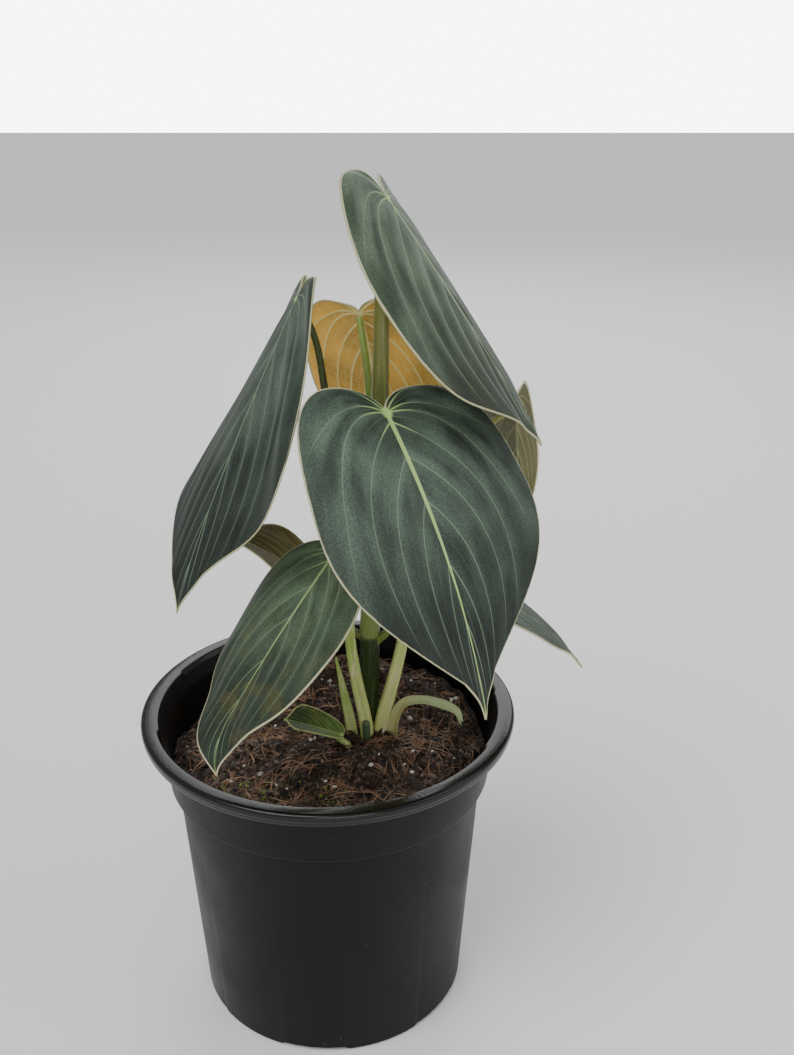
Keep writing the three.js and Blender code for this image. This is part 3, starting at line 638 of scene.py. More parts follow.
def mix_height(x, y):
    """The level of the mix: a mound about the crown, a loose ridge round it, and lumps."""
    dx = x - CROWN[0]
    dy = y - CROWN[1]
    d = np.hypot(dx, dy * 1.15)
    mound = 5.5 * np.exp(-((d / 30) ** 2))
    ridge = 3.2 * np.exp(-(((d - 21) / 7) ** 2)) * (0.6 + 0.4 * np.cos(np.arctan2(dy, dx) + 1.1))
    lumps = (1.3 * np.sin(0.21 * x + 1.3) * np.cos(0.19 * y - 0.4)
             + 0.9 * np.sin(0.43 * x - 0.31 * y) + 0.5 * np.cos(0.71 * y + 0.57 * x))
    return MIX_LEVEL + mound + ridge + lumps


def mix_top(x, y):
    """The level of the mix with its clods and crumbs, four finer octaves of value noise,
    and the bank of mix against the back of the pot."""
    clods = 1.9 * value_noise(x, y, 7.0, 11) + 1.3 * np.abs(value_noise(x, y, 3.6, 12))
    crumbs = 0.55 * value_noise(x, y, 1.7, 13) + 0.25 * value_noise(x, y, 0.8, 14)
    edge = smoothstep(62.5, 56, np.hypot(x, y))
    bank = 9.0 * smoothstep(22, 58, 0.4 * x + 0.92 * y)
    return mix_height(x, y) - 0.5 + bank + (clods + crumbs) * edge - 1.2 * (1 - edge)


def pot_inner(z):
    """The inner radius of the pot at height z."""
    zs = [FLOOR_LOW + WALL + 1, COLLAR_LOW - 2, COLLAR_LOW + 0.6, LIP_LOW - 2.4]
    rs = [BASE_RADIUS - WALL + 0.2, UNDER_COLLAR - WALL, COLLAR_RADIUS - WALL, COLLAR_TOP - WALL - 0.4]
    return np.interp(z, zs, rs)


def round_corners(profile, steps=6):
    """Replaces each corner (r, z, size) of a profile by a quadratic arc that starts and
    ends size millimetres from the corner."""
    out = []
    n = len(profile)
    for i, (r, z, size) in enumerate(profile):
        here = np.array([r, z])
        if size == 0:
            out.append(here)
            continue
        ends = []
        for other in (profile[i - 1], profile[(i + 1) % n]):
            way = np.array(other[:2]) - here
            ends.append(here + way * min(size / np.linalg.norm(way), 0.49))
        u = np.linspace(0, 1, steps)[:, None]
        out += list(ends[0] * (1 - u) ** 2 + 2 * here * u * (1 - u) + ends[1] * u**2)
    return np.array(out)


def scatter_lumps(centres, sizes, rng, squash=0.7):
    """Many small rough stones: an icosahedron with its corners pushed in and out at random,
    turned at random, and scaled about each centre."""
    g = (1 + 5**0.5) / 2
    base = np.array([(-1, g, 0), (1, g, 0), (-1, -g, 0), (1, -g, 0), (0, -1, g), (0, 1, g),
                     (0, -1, -g), (0, 1, -g), (g, 0, -1), (g, 0, 1), (-g, 0, -1), (-g, 0, 1)], float)
    base /= np.linalg.norm(base[0])
    faces = np.array([(0, 11, 5), (0, 5, 1), (0, 1, 7), (0, 7, 10), (0, 10, 11), (1, 5, 9), (5, 11, 4),
                      (11, 10, 2), (10, 7, 6), (7, 1, 8), (3, 9, 4), (3, 4, 2), (3, 2, 6), (3, 6, 8),
                      (3, 8, 9), (4, 9, 5), (2, 4, 11), (6, 2, 10), (8, 6, 7), (9, 8, 1)])
    n = len(centres)
    turn = np.linalg.qr(rng.normal(size=(n, 3, 3)))[0]
    turn *= np.sign(np.linalg.det(turn))[:, None, None]
    shape = base[None] * rng.uniform(0.7, 1.25, (n, 12, 1)) * rng.uniform(0.6, 1.2, (n, 1, 3))
    shape = np.einsum("nij,nkj->nki", turn, shape) * sizes[:, None, None]
    shape[..., 2] *= squash
    points = (centres[:, None] + shape).reshape(-1, 3)
    tris = (faces[None] + 12 * np.arange(n)[:, None, None]).reshape(-1, 3)
    return points, np.concatenate([tris, tris[:, :1]], axis=1)


def scatter_threads(starts, ends, lift, radius, rng, count=8, sides=3):
    """Many thin fibres: a quadratic arc from start to end, bent sideways at random and
    lifted in the middle, with a three-sided section that thins at both ends."""
    n = len(starts)
    u = np.linspace(0, 1, count)[None, :, None]
    way = ends - starts
    middle = (starts + ends) / 2 + rng.normal(size=(n, 3)) * 0.22 * np.linalg.norm(way, axis=1)[:, None]
    middle[:, 2] = (starts[:, 2] + ends[:, 2]) / 2 + lift
    path = starts[:, None] * (1 - u) ** 2 + 2 * middle[:, None] * u * (1 - u) + ends[:, None] * u**2
    tangent = np.gradient(path, axis=1)
    tangent /= np.maximum(np.linalg.norm(tangent, axis=2), 1e-6)[..., None]
    across = np.cross(tangent, np.array([0.13, 0.21, 0.97]))
    across /= np.maximum(np.linalg.norm(across, axis=2), 1e-6)[..., None]
    over = np.cross(tangent, across)
    a = np.linspace(0, 2 * np.pi, sides, endpoint=False)
    r = radius[:, None, None, None] * (0.25 + 0.75 * np.sin(np.pi * u[..., None]) ** 0.5)
    out = across[:, :, None] * np.cos(a)[:, None] + over[:, :, None] * np.sin(a)[:, None]
    ring = path[:, :, None] + r * out
    quads = grid_quads(count, sides, close_cols=True)
    last = (count - 1) * sides
    caps = np.array([[0, 1, 2, 0], [last, last + 2, last + 1, last]])
    quads = np.concatenate([quads[:, ::-1], caps])
    quads = (quads[None] + count * sides * np.arange(n)[:, None, None]).reshape(-1, 4)
    return ring.reshape(-1, 3), quads


# Materials


class Finish:
    """A node material with one Principled shader, and short calls for the nodes it needs."""

    def __init__(self, name, **shader):
        self.material = bpy.data.materials.new(name)
        self.material.use_nodes = True
        self.nodes = self.material.node_tree.nodes
        self.links = self.material.node_tree.links
        self.shader = self.nodes["Principled BSDF"]
        for key, value in shader.items():
            self.set(self.shader.inputs[key.replace("_", " ")], value)
        self.coords = self.nodes.new("ShaderNodeTexCoord").outputs["Object"]

    def set(self, socket, value):
        if isinstance(value, bpy.types.NodeSocket):
            self.links.new(value, socket)
        elif isinstance(value, tuple) and socket.type == "RGBA":
            socket.default_value = (*value, 1.0)
        else:
            socket.default_value = value

    def math(self, operation, a, b=0.0):
        node = self.nodes.new("ShaderNodeMath")
        node.operation = operation
        self.set(node.inputs[0], a)
        self.set(node.inputs[1], b)
        return node.outputs[0]

    def times(self, a, b):
        return self.math("MULTIPLY", a, b)

    def plus(self, a, b):
        return self.math("ADD", a, b)

    def ramp(self, value, low, high, start=0.0, end=1.0):
        """start up to low, end from high, and a smooth step between."""
        node = self.nodes.new("ShaderNodeMapRange")
        node.interpolation_type = "SMOOTHSTEP"
        for socket, item in zip(node.inputs, (value, low, high, start, end)):
            self.set(socket, item)
        return node.outputs[0]

    def mix(self, amount, a, b, blend="MIX"):
        node = self.nodes.new("ShaderNodeMix")
        node.data_type = "RGBA"
        node.blend_type = blend
        self.set(node.inputs["Factor"], amount)
        self.set(node.inputs[6], a)
        self.set(node.inputs[7], b)
        return node.outputs[2]

    def shaded(self, base, level):
        """The colour base, made lighter or darker by the number level."""
        return self.mix(1.0, base, level, "MULTIPLY")

    def noise(self, scale, detail=3.0, rough=0.55, coords=None):
        node = self.nodes.new("ShaderNodeTexNoise")
        self.set(node.inputs["Vector"], coords or self.coords)
        self.set(node.inputs["Scale"], scale)
        self.set(node.inputs["Detail"], detail)
        self.set(node.inputs["Roughness"], rough)
        return node.outputs["Fac"]

    def cells(self, scale):
        node = self.nodes.new("ShaderNodeTexVoronoi")
        self.set(node.inputs["Vector"], self.coords)
        self.set(node.inputs["Scale"], scale)
        return node.outputs["Distance"]

    def stretched(self, x, y, z):
        node = self.nodes.new("ShaderNodeMapping")
        self.set(node.inputs["Vector"], self.coords)
        node.inputs["Scale"].default_value = (x, y, z)
        return node.outputs["Vector"]

    def combined(self, x, y, z):
        node = self.nodes.new("ShaderNodeCombineXYZ")
        for socket, item in zip(node.inputs, (x, y, z)):
            self.set(socket, item)
        return node.outputs["Vector"]

    def field(self, name):
        node = self.nodes.new("ShaderNodeAttribute")
        node.attribute_name = name
        return node.outputs["Fac"]

    def uv(self):
        node = self.nodes.new("ShaderNodeUVMap")
        node.uv_map = "UVMap"
        split = self.nodes.new("ShaderNodeSeparateXYZ")
        self.links.new(node.outputs["UV"], split.inputs[0])
        return split.outputs["X"], split.outputs["Y"]

    def axes(self):
        split = self.nodes.new("ShaderNodeSeparateXYZ")
        self.links.new(self.coords, split.inputs[0])
        return split.outputs["X"], split.outputs["Y"], split.outputs["Z"]

    def bump(self, height, distance, strength):
        node = self.nodes.new("ShaderNodeBump")
        self.set(node.inputs["Height"], height)
        node.inputs["Distance"].default_value = distance
        node.inputs["Strength"].default_value = strength
        self.set(self.shader.inputs["Normal"], node.outputs["Normal"])

    def colour(self, value):
        self.set(self.shader.inputs["Base Color"], value)
        return self.material


def vein_masks(finish, width, rib):
    """Where the veins are: the distance to the nearest row number that is whole, times the
    spacing of the rows, is the distance to a side vein. Thinner veins lie half way between."""
    q, out = finish.uv()
    q = finish.times(q, ROWS_IN_UV)
    pitch = finish.field("pitch")
    off = finish.math("ABSOLUTE", finish.math("SUBTRACT", finish.math("FRACT", q), 0.5))
    near = finish.times(finish.math("SUBTRACT", 0.5, off), pitch)
    thin = finish.times(off, pitch)
    taper = finish.ramp(out, 0.0, 0.95, width, width * 0.5)
    side = finish.ramp(near, finish.times(taper, 0.35), taper, 1.0, 0.0)
    side = finish.times(side, finish.ramp(out, 0.8, 0.98, 1.0, 0.15))
    minor = finish.ramp(thin, width * 0.15, width * 0.5, 0.25, 0.0)
    minor = finish.times(minor, finish.ramp(out, 0.25, 0.7, 1.0, 0.2))
    reach = finish.ramp(finish.field("along"), 0.0, 0.9, rib, rib * 0.22)
    middle = finish.ramp(finish.field("mid"), finish.times(reach, 0.6), reach, 1.0, 0.0)
    return finish.math("MAXIMUM", side, minor), middle, q, out, off


def velvet(name, look, leaf_props, scale):
    """The upper face: the dark velvet under a painted sheen of grey lighter bands that follow
    the veins and grow lighter towards each vein; painted light that makes the blade lighter
    near the joint, and painted shade that darkens it and dims its sheen towards the tip; a
    fine nap, pale side veins that are lime near the junction, a bright midrib that thins to
    the tip, and a thin pale margin."""
    finish = Finish(name, Roughness=0.6, Sheen_Weight=look["sheen"], Sheen_Roughness=0.45,
                    Sheen_Tint=(0.78, 0.84, 0.80), Specular_IOR_Level=0.3)
    side, middle, q, out, off = vein_masks(finish, 0.38 * scale, look["rib"])
    # Painted sheen: the velvet turns grey and lighter towards each vein, in noise bands that follow the veins
    # and in broad clouds.
    between = finish.ramp(off, 0.10, 0.48)
    hand = finish.times(finish.field("hand"), 17.0)
    flow = finish.combined(finish.times(q, 1.1), finish.times(out, 2.6), hand)
    sheen_drift = finish.ramp(finish.noise(1.0, 2.5, coords=flow), 0.38, 0.62)
    cloud = finish.ramp(finish.noise(30.0, 2.0), 0.35, 0.65)
    painted_sheen = finish.plus(finish.times(between, 0.25), finish.times(sheen_drift, 0.40))
    painted_sheen = finish.plus(painted_sheen, finish.times(cloud, 0.35))
    # Painted shade: the painted sheen fades towards the tip, where the blade turns down away from the light.
    painted_sheen = finish.times(painted_sheen, finish.ramp(finish.field("along"), 0.25, 0.95, 1.0, 0.42))
    base = finish.mix(painted_sheen, look["dark"], look["light"])
    mottle = finish.ramp(finish.noise(85.0, 4.0, 0.65), 0.50, 0.64, 0.0, look["blotches"])
    lower = finish.ramp(finish.field("along"), 0.25, 0.75, 0.15, 1.0)
    base = finish.mix(finish.times(mottle, lower), base, look["blotch"])
    nap = finish.ramp(finish.noise(2100.0, 2.0), 0.3, 0.72, 0.62, 1.42)
    base = finish.shaded(base, nap)
    # Painted light and shade: the colour is lighter near the joint, where the blade faces up to the light,
    # and darker towards the tip.
    base = finish.shaded(base, finish.ramp(finish.field("along"), 0.0, 0.85, 1.35, 0.5))
    lime = finish.ramp(finish.field("span"), 4.0, 16.0, 1.0, 0.0)
    vein = finish.mix(lime, look["vein"], look["midrib"])
    strength = finish.times(side, finish.ramp(lime, 0.0, 1.0, leaf_props.vein_strength, 1.0))
    veined = finish.mix(strength, base, vein)
    veined = finish.mix(middle, veined, look["midrib"])
    knot = finish.ramp(finish.field("span"), look["rib"] * 0.9, look["rib"] * 2.4, 1.0, 0.0)
    veined = finish.mix(knot, veined, look["junction"])
    width = leaf_props.margin_width / MM
    rim = finish.ramp(finish.field("edge"), width * 0.6, width * 1.15, 1.0, 0.0)
    relief = finish.plus(finish.times(side, 0.5), finish.noise(2600.0, 2.0))
    finish.bump(relief, 0.00012, 0.5)
    return finish.colour(finish.mix(rim, veined, look["margin"]))


def underside(name, look, scale):
    """The lower face: smooth and paler, with raised pale veins and a fine net between."""
    finish = Finish(name, Roughness=0.55, Specular_IOR_Level=0.2)
    side, middle = vein_masks(finish, 0.8 * scale, look["rib"] * 1.5)[:2]
    cloud = finish.ramp(finish.noise(45.0, 3.0), 0.3, 0.7, 0.72, 1.25)
    base = finish.shaded(look["under"], cloud)
    net = finish.ramp(finish.cells(900.0), 0.25, 0.6, 0.0, 0.22)
    base = finish.mix(net, base, look["under_vein"])
    base = finish.mix(finish.math("MAXIMUM", side, middle), base, look["under_vein"])
    rim = finish.ramp(finish.field("edge"), 0.4, 1.0, 1.0, 0.0)
    finish.bump(finish.noise(1300.0, 2.0), 0.00008, 0.4)
    return finish.colour(finish.mix(rim, base, look["margin"]))


def stalk_finish(name, low, high, streak, rough=0.38, switch=(0.35, 0.75), streaks=0.6):
    """Skin of a stalk: its colour goes from the foot to the top, with long streaks and
    flecks."""
    finish = Finish(name, Roughness=rough, Specular_IOR_Level=0.5)
    along = finish.field("along")
    base = finish.mix(finish.ramp(along, switch[0], switch[1]), low, high)
    lines = finish.noise(1.0, 3.0, coords=finish.stretched(900, 900, 40))
    base = finish.mix(finish.ramp(lines, 0.5, 0.68, 0.0, streaks), base, streak)
    flecks = finish.ramp(finish.noise(2400.0, 1.0), 0.66, 0.74, 0.0, 0.5)
    base = finish.mix(flecks, base, FLECK)
    finish.bump(finish.plus(lines, finish.noise(1500.0, 2.0)), 0.0001, 0.5)
    return finish.colour(base)


def plastic(name, props, rough, shine):
    """Black moulded plastic with a faint dusty bloom and a few specks of dust."""
    finish = Finish(name, Specular_IOR_Level=shine)
    cloud = finish.ramp(finish.noise(28.0, 4.0), 0.3, 0.7, -0.05, 0.07)
    finish.set(finish.shader.inputs["Roughness"], finish.plus(cloud, rough))
    bloom = finish.ramp(finish.noise(14.0, 5.0), 0.45, 0.75, 0.0, 0.25)
    base = finish.mix(bloom, tuple(props.colour), BLOOM)
    spot = finish.ramp(finish.cells(420.0), 0.05, 0.10, 1.0, 0.0)
    where = finish.ramp(finish.noise(60.0, 3.0), 0.6, 0.68)
    specks = finish.times(finish.times(spot, where), props.dust)
    base = finish.mix(specks, base, DUST)
    grain = finish.noise(700.0, 3.0)
    ripple = finish.times(finish.noise(40.0, 2.0), 3.0)
    finish.bump(finish.plus(grain, ripple), 0.00015, 0.35)
    return finish.colour(base)


def mix_finish(props):
    """Moist peat and coir: near black in the hollows, red-brown on the crumbs, with a
    green bloom of algae at the front left."""
    finish = Finish("potting_mix", Roughness=0.55, Specular_IOR_Level=0.5)
    x, y, _ = finish.axes()
    cloud = finish.ramp(finish.noise(240.0, 5.0, 0.65), 0.35, 0.7)
    base = finish.mix(cloud, tuple(props.dark), tuple(props.light))
    red = finish.ramp(finish.noise(520.0, 3.0), 0.56, 0.68, 0.0, 0.75)
    base = finish.mix(red, base, COIR_RED)
    front = finish.ramp(y, -0.060, -0.030, 1.0, 0.0)
    corner = finish.times(front, finish.ramp(x, -0.005, 0.02, 1.0, 0.0))
    algae = finish.ramp(finish.noise(160.0, 4.0), 0.45, 0.56)
    base = finish.mix(finish.times(finish.times(corner, algae), 0.8), base, ALGAE)
    finish.bump(finish.plus(finish.noise(900.0, 4.0), finish.cells(600.0)), 0.0006, 0.9)
    return finish.colour(base)


def lump_finish(name, low, high, scale, rough=0.8):
    """Small loose bits: two colours mixed by noise that differs from bit to bit."""
    finish = Finish(name, Roughness=rough, Specular_IOR_Level=0.3)
    base = finish.mix(finish.ramp(finish.noise(scale, 2.0), 0.38, 0.62), low, high)
    finish.bump(finish.noise(1800.0, 3.0), 0.0002, 0.7)
    return finish.colour(base)


# Settings


class PHILO_PotSettings(bpy.types.PropertyGroup):
    """The pot's plastic"""

    colour: bpy.props.FloatVectorProperty(
        name="Plastic", description="Colour of the pot's plastic", subtype="COLOR", size=3, min=0, max=1,
        default=(0.0055, 0.0050, 0.0045))
    roughness: bpy.props.FloatProperty(
        name="Roughness", description="How dull the pot's wall is", subtype="FACTOR", min=0, max=1,
        default=0.42)
    dust: bpy.props.FloatProperty(
        name="Dust", description="How much dust shows on the pot", subtype="FACTOR", min=0, max=1,
        default=0.5)


class PHILO_MixSettings(bpy.types.PropertyGroup):
    """The potting mix and what lies on it"""

    dark: bpy.props.FloatVectorProperty(
        name="Hollows", description="Colour of the mix in its hollows", subtype="COLOR", size=3, min=0, max=1,
        default=(0.006, 0.0045, 0.004))
    light: bpy.props.FloatVectorProperty(
        name="Crumbs", description="Colour of the mix on its crumbs", subtype="COLOR", size=3, min=0, max=1,
        default=(0.062, 0.040, 0.030))
    crumbs: bpy.props.IntProperty(
        name="Crumbs", description="Number of loose crumbs", min=0, max=9000, default=6500)
    fibres: bpy.props.IntProperty(
        name="Fibres", description="Number of coir fibres", min=0, max=3000, default=1500)
    perlite: bpy.props.IntProperty(
        name="Perlite", description="Number of white grains", min=0, max=500, default=160)


class PHILO_LeafSettings(bpy.types.PropertyGroup):
    """The blades"""

    quilt: bpy.props.FloatProperty(
        name="Quilting", description="Swelling between veins, as part of their spacing", subtype="FACTOR",
        min=0, max=0.2, default=0.055)
    ruffle: bpy.props.FloatProperty(
        name="Ruffle", description="Waving of the edge", subtype="DISTANCE", unit="LENGTH", min=0, max=0.005,
        default=0.0008)
    margin_width: bpy.props.FloatProperty(
        name="Margin", description="Width of the pale margin", subtype="DISTANCE", unit="LENGTH", min=0,
        max=0.003, default=0.00048)
    vein_strength: bpy.props.FloatProperty(
        name="Vein strength", description="How clearly the side veins show", subtype="FACTOR", min=0, max=1,
        default=0.72)


class PHILO_StageSettings(bpy.types.PropertyGroup):
    """The floor and the lights"""

    floor: bpy.props.FloatVectorProperty(
        name="Floor", description="Colour of the floor", subtype="COLOR", size=3, min=0, max=1,
        default=(0.90, 0.89, 0.88))
    light: bpy.props.FloatProperty(
        name="Light", description="Strength of all the lights", min=0, max=10, default=1.0)


# Pieces


class PHILO_OT_pot(bpy.types.Operator):
    """Build the moulded pot with its rim, collar, feet and drain holes"""

    bl_idname = "philo.pot"
    bl_label = "Pot"

    def execute(self, context):
        h = POT_HEIGHT
        foot = BASE_RADIUS
        # Corners as radius, height and rounding: out along the base, up the outside, over
        # the lip and down the inside.
        profile = round_corners([
            (0, 0, 0), (PAD_RADIUS, 0, 0.5), (PAD_RADIUS + 1.5, FLOOR_LOW, 0.5),
            (foot - 4.6, FLOOR_LOW, 0.6), (foot - 3.4, 0, 0.5), (foot - 0.8, 0, 0.6), (foot, 0.9, 0.6),
            (UNDER_COLLAR, COLLAR_LOW - 1.6, 0.8), (COLLAR_RADIUS, COLLAR_LOW, 0.8),
            (COLLAR_TOP, LIP_LOW - 2.2, 1.0), (RIM_RADIUS - 1.4, LIP_LOW - 0.7, 0.7),
            (RIM_RADIUS - 0.4, LIP_LOW + 0.9, 0.5), (RIM_RADIUS - 0.55, LIP_LOW + 1.5, 0.4),
            (RIM_RADIUS, LIP_LOW + 2.2, 0.6), (RIM_RADIUS, h - 0.2, 1.9), (RIM_RADIUS - 3.4, h, 1.6),
            (LIP_INNER, h - 0.1, 0.8), (LIP_INNER - 1.4, h - 3, 0.8),
            (COLLAR_TOP - WALL - 0.4, LIP_LOW - 2.4, 1.5), (COLLAR_RADIUS - WALL, COLLAR_LOW + 0.6, 1.0),
            (UNDER_COLLAR - WALL, COLLAR_LOW - 2, 1.0), (foot - WALL, FLOOR_LOW + WALL, 1.5),
            (PAD_RADIUS + 2, FLOOR_LOW + WALL, 0.8), (PAD_RADIUS - 0.5, WALL, 0.8), (0, WALL, 0),
        ])
        turn = np.radians(np.arange(0, 360, 1.0))
        r = np.repeat(profile[:, :1], len(turn), 1)
        z = np.repeat(profile[:, 1:], len(turn), 1)
        degrees = np.degrees(turn)[None]
        # The base ring lifts into arches between the feet.
        half = 180 / ARCHES
        off = np.abs((degrees - ARCH_AT + half) % (2 * half) - half)
        arch = smoothstep(*ARCH_EDGE, off)
        ring = (r > foot - 4.2) & (z < 2.2)
        z = np.where(ring, np.maximum(z, ARCH_HEIGHT * arch), z)
        # Inside the rim the lip stands further in along the lands.
        land = np.max([smoothstep(a - 1, a + 1, degrees) * smoothstep(b + 1, b - 1, degrees)
                       for a, b in LANDS], axis=0)
        inner = (r < LIP_INNER + 0.8) & (z > h - 3.4)
        r = np.where(inner, r - LAND_DEPTH * land, r)
        points = np.stack([r * np.cos(turn), r * np.sin(turn), z], -1)
        quads = grid_quads(len(profile), len(turn), close_cols=True)
        pot = make_piece("pot_shell", points.reshape(-1, 3), quads[:, ::-1], [], angle=SHARP_ANGLE)
        drill_pot(pot)
        pot.data.materials.clear()
        props = context.scene.philo_pot
        pot.data.materials.append(plastic("pot_wall", props, props.roughness, 0.16))
        pot.data.materials.append(plastic("pot_lip", props, props.roughness * 0.45, 0.35))
        middle = np.zeros(len(pot.data.polygons) * 3)
        pot.data.polygons.foreach_get("center", middle)
        middle = middle.reshape(-1, 3)
        out = np.hypot(middle[:, 0], middle[:, 1])
        lip = (middle[:, 2] > (LIP_LOW + 0.3) * MM) & (out > (LIP_INNER - 1) * MM)
        pot.data.polygons.foreach_set("material_index", lip.astype(np.int32))
        finish_piece(pot, "pot_plastic", "pot")
        return {"FINISHED"}


def drill_pot(pot):
    """Cuts the drain holes: round drums spaced evenly on a ring are taken from the pot, and
    the result becomes its mesh."""
    a = np.linspace(0, 2 * np.pi, 32, endpoint=False)
    centre = 2 * np.pi * (np.arange(DRAIN_HOLES) + 0.5) / DRAIN_HOLES
    radius = np.array([0.0, DRAIN_RADIUS, DRAIN_RADIUS, 0.0])[:, None]
    level = np.array([-2.0, -2.0, 8.0, 8.0])[:, None] + 0 * a
    drum = np.stack([radius * np.cos(a), radius * np.sin(a), level], -1).reshape(-1, 3)
    quads = grid_quads(4, len(a), close_cols=True)[:, ::-1]
    places = np.stack([DRAIN_RING * np.cos(centre), DRAIN_RING * np.sin(centre), 0 * centre], -1)
    points = (drum[None] + places[:, None]).reshape(-1, 3)
    quads = (quads[None] + len(drum) * np.arange(DRAIN_HOLES)[:, None, None]).reshape(-1, 4)
    drums = make_piece("drums", points, quads, [])
    cut = pot.modifiers.new("holes", "BOOLEAN")
    cut.operation = "DIFFERENCE"
    cut.object = drums
    done = bpy.data.meshes.new_from_object(pot.evaluated_get(bpy.context.evaluated_depsgraph_get()))
    pot.modifiers.clear()
    pot.data = done
    done.set_sharp_from_angle(angle=math.radians(SHARP_ANGLE))
    bpy.data.objects.remove(drums)


class PHILO_OT_mix(bpy.types.Operator):
    """Fill the pot with potting mix that has a lumpy top"""

    bl_idname = "philo.mix"
    bl_label = "Potting mix"

    def execute(self, context):
        turn = np.linspace(0, 2 * np.pi, 420, endpoint=False)
        reach = np.linspace(0, MIX_REACH, 150)[:, None]
        x = reach * np.cos(turn)
        y = reach * np.sin(turn)
        top = np.stack([x, y, mix_top(x, y)], -1)
        # The side and the bottom: rings against the wall, then in along the floor.
        levels = np.array([COLLAR_LOW + 1.4, COLLAR_LOW - 2.6, 50.0, FLOOR_LOW + WALL + 3.0])
        radii = np.concatenate([pot_inner(levels) - 0.8, [BASE_RADIUS - 5.0, 25.0, 0.0]])[:, None]
        levels = np.concatenate([levels, [FLOOR_LOW + WALL + 0.4] * 3])[:, None] + 0 * turn
        side = np.stack([radii * np.cos(turn), radii * np.sin(turn), levels], -1)
        points = np.concatenate([top, side]).reshape(-1, 3)
        quads = grid_quads(len(top) + len(side), len(turn), close_cols=True)
        mix = make_piece("mix_surface", points, quads, [mix_finish(context.scene.philo_mix)])
        finish_piece(mix, "potting_mix", "potting_mix")
        return {"FINISHED"}


def spots_on_mix(rng, count, reach=BITS_REACH):
    """Random places on top of the mix, spread evenly over its round area."""
    r = reach * np.sqrt(rng.uniform(0, 1, count))
    a = rng.uniform(0, 2 * np.pi, count)
    x = r * np.cos(a)
    y = r * np.sin(a)
    return np.stack([x, y, mix_top(x, y)], -1)


class PHILO_OT_mix_bits(bpy.types.Operator):
    """Scatter crumbs, coir fibres, perlite, moss and droplets over the potting mix"""

    bl_idname = "philo.mix_bits"
    bl_label = "Loose bits"

    def execute(self, context):
        props = context.scene.philo_mix
        rng = np.random.default_rng(BITS_SEED)
        crumbs = lump_finish("crumb", (0.004, 0.003, 0.003), (0.17, 0.105, 0.075), 420.0, 0.45)
        places = spots_on_mix(rng, props.crumbs)
        sizes = rng.uniform(0.2, 1.0, len(places)) ** 3 * 1.5 + 0.22
        points, quads = scatter_lumps(places, sizes, rng)
        finish_piece(make_piece("mix_crumbs", points, quads, [crumbs], smooth=False), "potting_mix")

        places = spots_on_mix(rng, props.perlite)
        sizes = rng.uniform(0.3, 1.0, len(places)) ** 2 * 1.2 + 0.15
        points, quads = scatter_lumps(places + (0, 0, 0.3), sizes, rng, 0.85)
        perlite = lump_finish("perlite", (0.62, 0.60, 0.55), (0.82, 0.80, 0.76), 500.0, 0.7)
        finish_piece(make_piece("perlite", points, quads, [perlite], smooth=False), "potting_mix")

        starts = spots_on_mix(rng, props.fibres, FIBRE_REACH)
        heading = rng.uniform(0, 2 * np.pi, len(starts))
        run = rng.gamma(3.0, 3.2, len(starts)) + 3
        ends = starts + np.stack([run * np.cos(heading), run * np.sin(heading), 0 * run], -1)
        far = np.hypot(ends[:, 0], ends[:, 1])
        ends[:, :2] *= np.minimum(1, BITS_REACH / far)[:, None]
        ends[:, 2] = mix_top(ends[:, 0], ends[:, 1])
        lift = rng.uniform(0.4, 4.5, len(starts))
        radius = rng.uniform(0.08, 0.26, len(starts))
        points, quads = scatter_threads(starts, ends, lift, radius, rng)
        fibre = lump_finish("fibre", (0.07, 0.038, 0.024), (0.48, 0.29, 0.18), 90.0)
        finish_piece(make_piece("coir_fibres", points, quads, [fibre]), "potting_mix")

        moss = spots_on_mix(rng, MOSS_TRIES)
        moss = moss[(moss[:, 0] < MOSS_CORNER[0]) & (moss[:, 1] < MOSS_CORNER[1])]
        points, quads = scatter_lumps(moss, rng.uniform(0.25, 0.8, len(moss)), rng)
        green = lump_finish("moss", (0.05, 0.075, 0.012), (0.20, 0.28, 0.05), 260.0)
        finish_piece(make_piece("moss_bits", points, quads, [green], smooth=False), "potting_mix")

        drops = spots_on_mix(rng, DROPS, DROP_REACH)
        points, quads = scatter_lumps(drops + (0, 0, 0.8), rng.uniform(0.35, 0.7, len(drops)), rng, 0.9)
        water = Finish("water", Roughness=0.03, IOR=1.33, Transmission_Weight=1.0).material
        finish_piece(make_piece("droplets", points, quads, [water]), "potting_mix")
        return {"FINISHED"}


def add_tube(name, entry, material, slot, node, end=None, **shape):
    """Makes a stalk from its entry. end adds a last point to its path, and node names the
    CAD node that it stands for, if any."""
    path = list(entry["path"]) + ([end] if end is not None else [])
    points, quads, uv, along = tube(path, entry["radii"], flat=entry.get("flat", 1.0), **shape)
    obj = make_piece(name, points, quads, [material], uv=uv, fields={"along": along})
    finish_piece(obj, slot, *([node] if node else []))
    return obj


class PHILO_OT_stalks(bpy.types.Operator):
    """Build the main stem and the leaf stalks"""

    bl_idname = "philo.stalks"
    bl_label = "Stem and stalks"

    def execute(self, context):
        bark = stalk_finish("stem_skin", **SKINS["stem_skin"])
        add_tube("stem_main", STEM, bark, "stem", "main_stem", wobble=0.05, count=120)
        pale, olive, green, dark = (stalk_finish(f"stalk_{tone}", **SKINS[f"stalk_{tone}"])
                                    for tone in ("pale", "olive", "green", "dark"))
        skins = {"front": pale, "low_left": pale, "stub": pale, "left": dark, "golden": green,
                 "low_right": green}
        for name, entry in STALKS.items():
            leaf = LEAVES[name]
            place, _, normal = midrib(leaf)(np.array([1.2]))
            end = tuple(place[0] - normal[0] * 1.1)
            groove = 0.3 if name in ("front", "low_left") else 0.15
            add_tube(f"stalk_{name}_skin", entry, skins.get(name, olive), "stalk", f"stalk_{name}", end,
                     groove=groove, wobble=0.03, count=110)
        return {"FINISHED"}


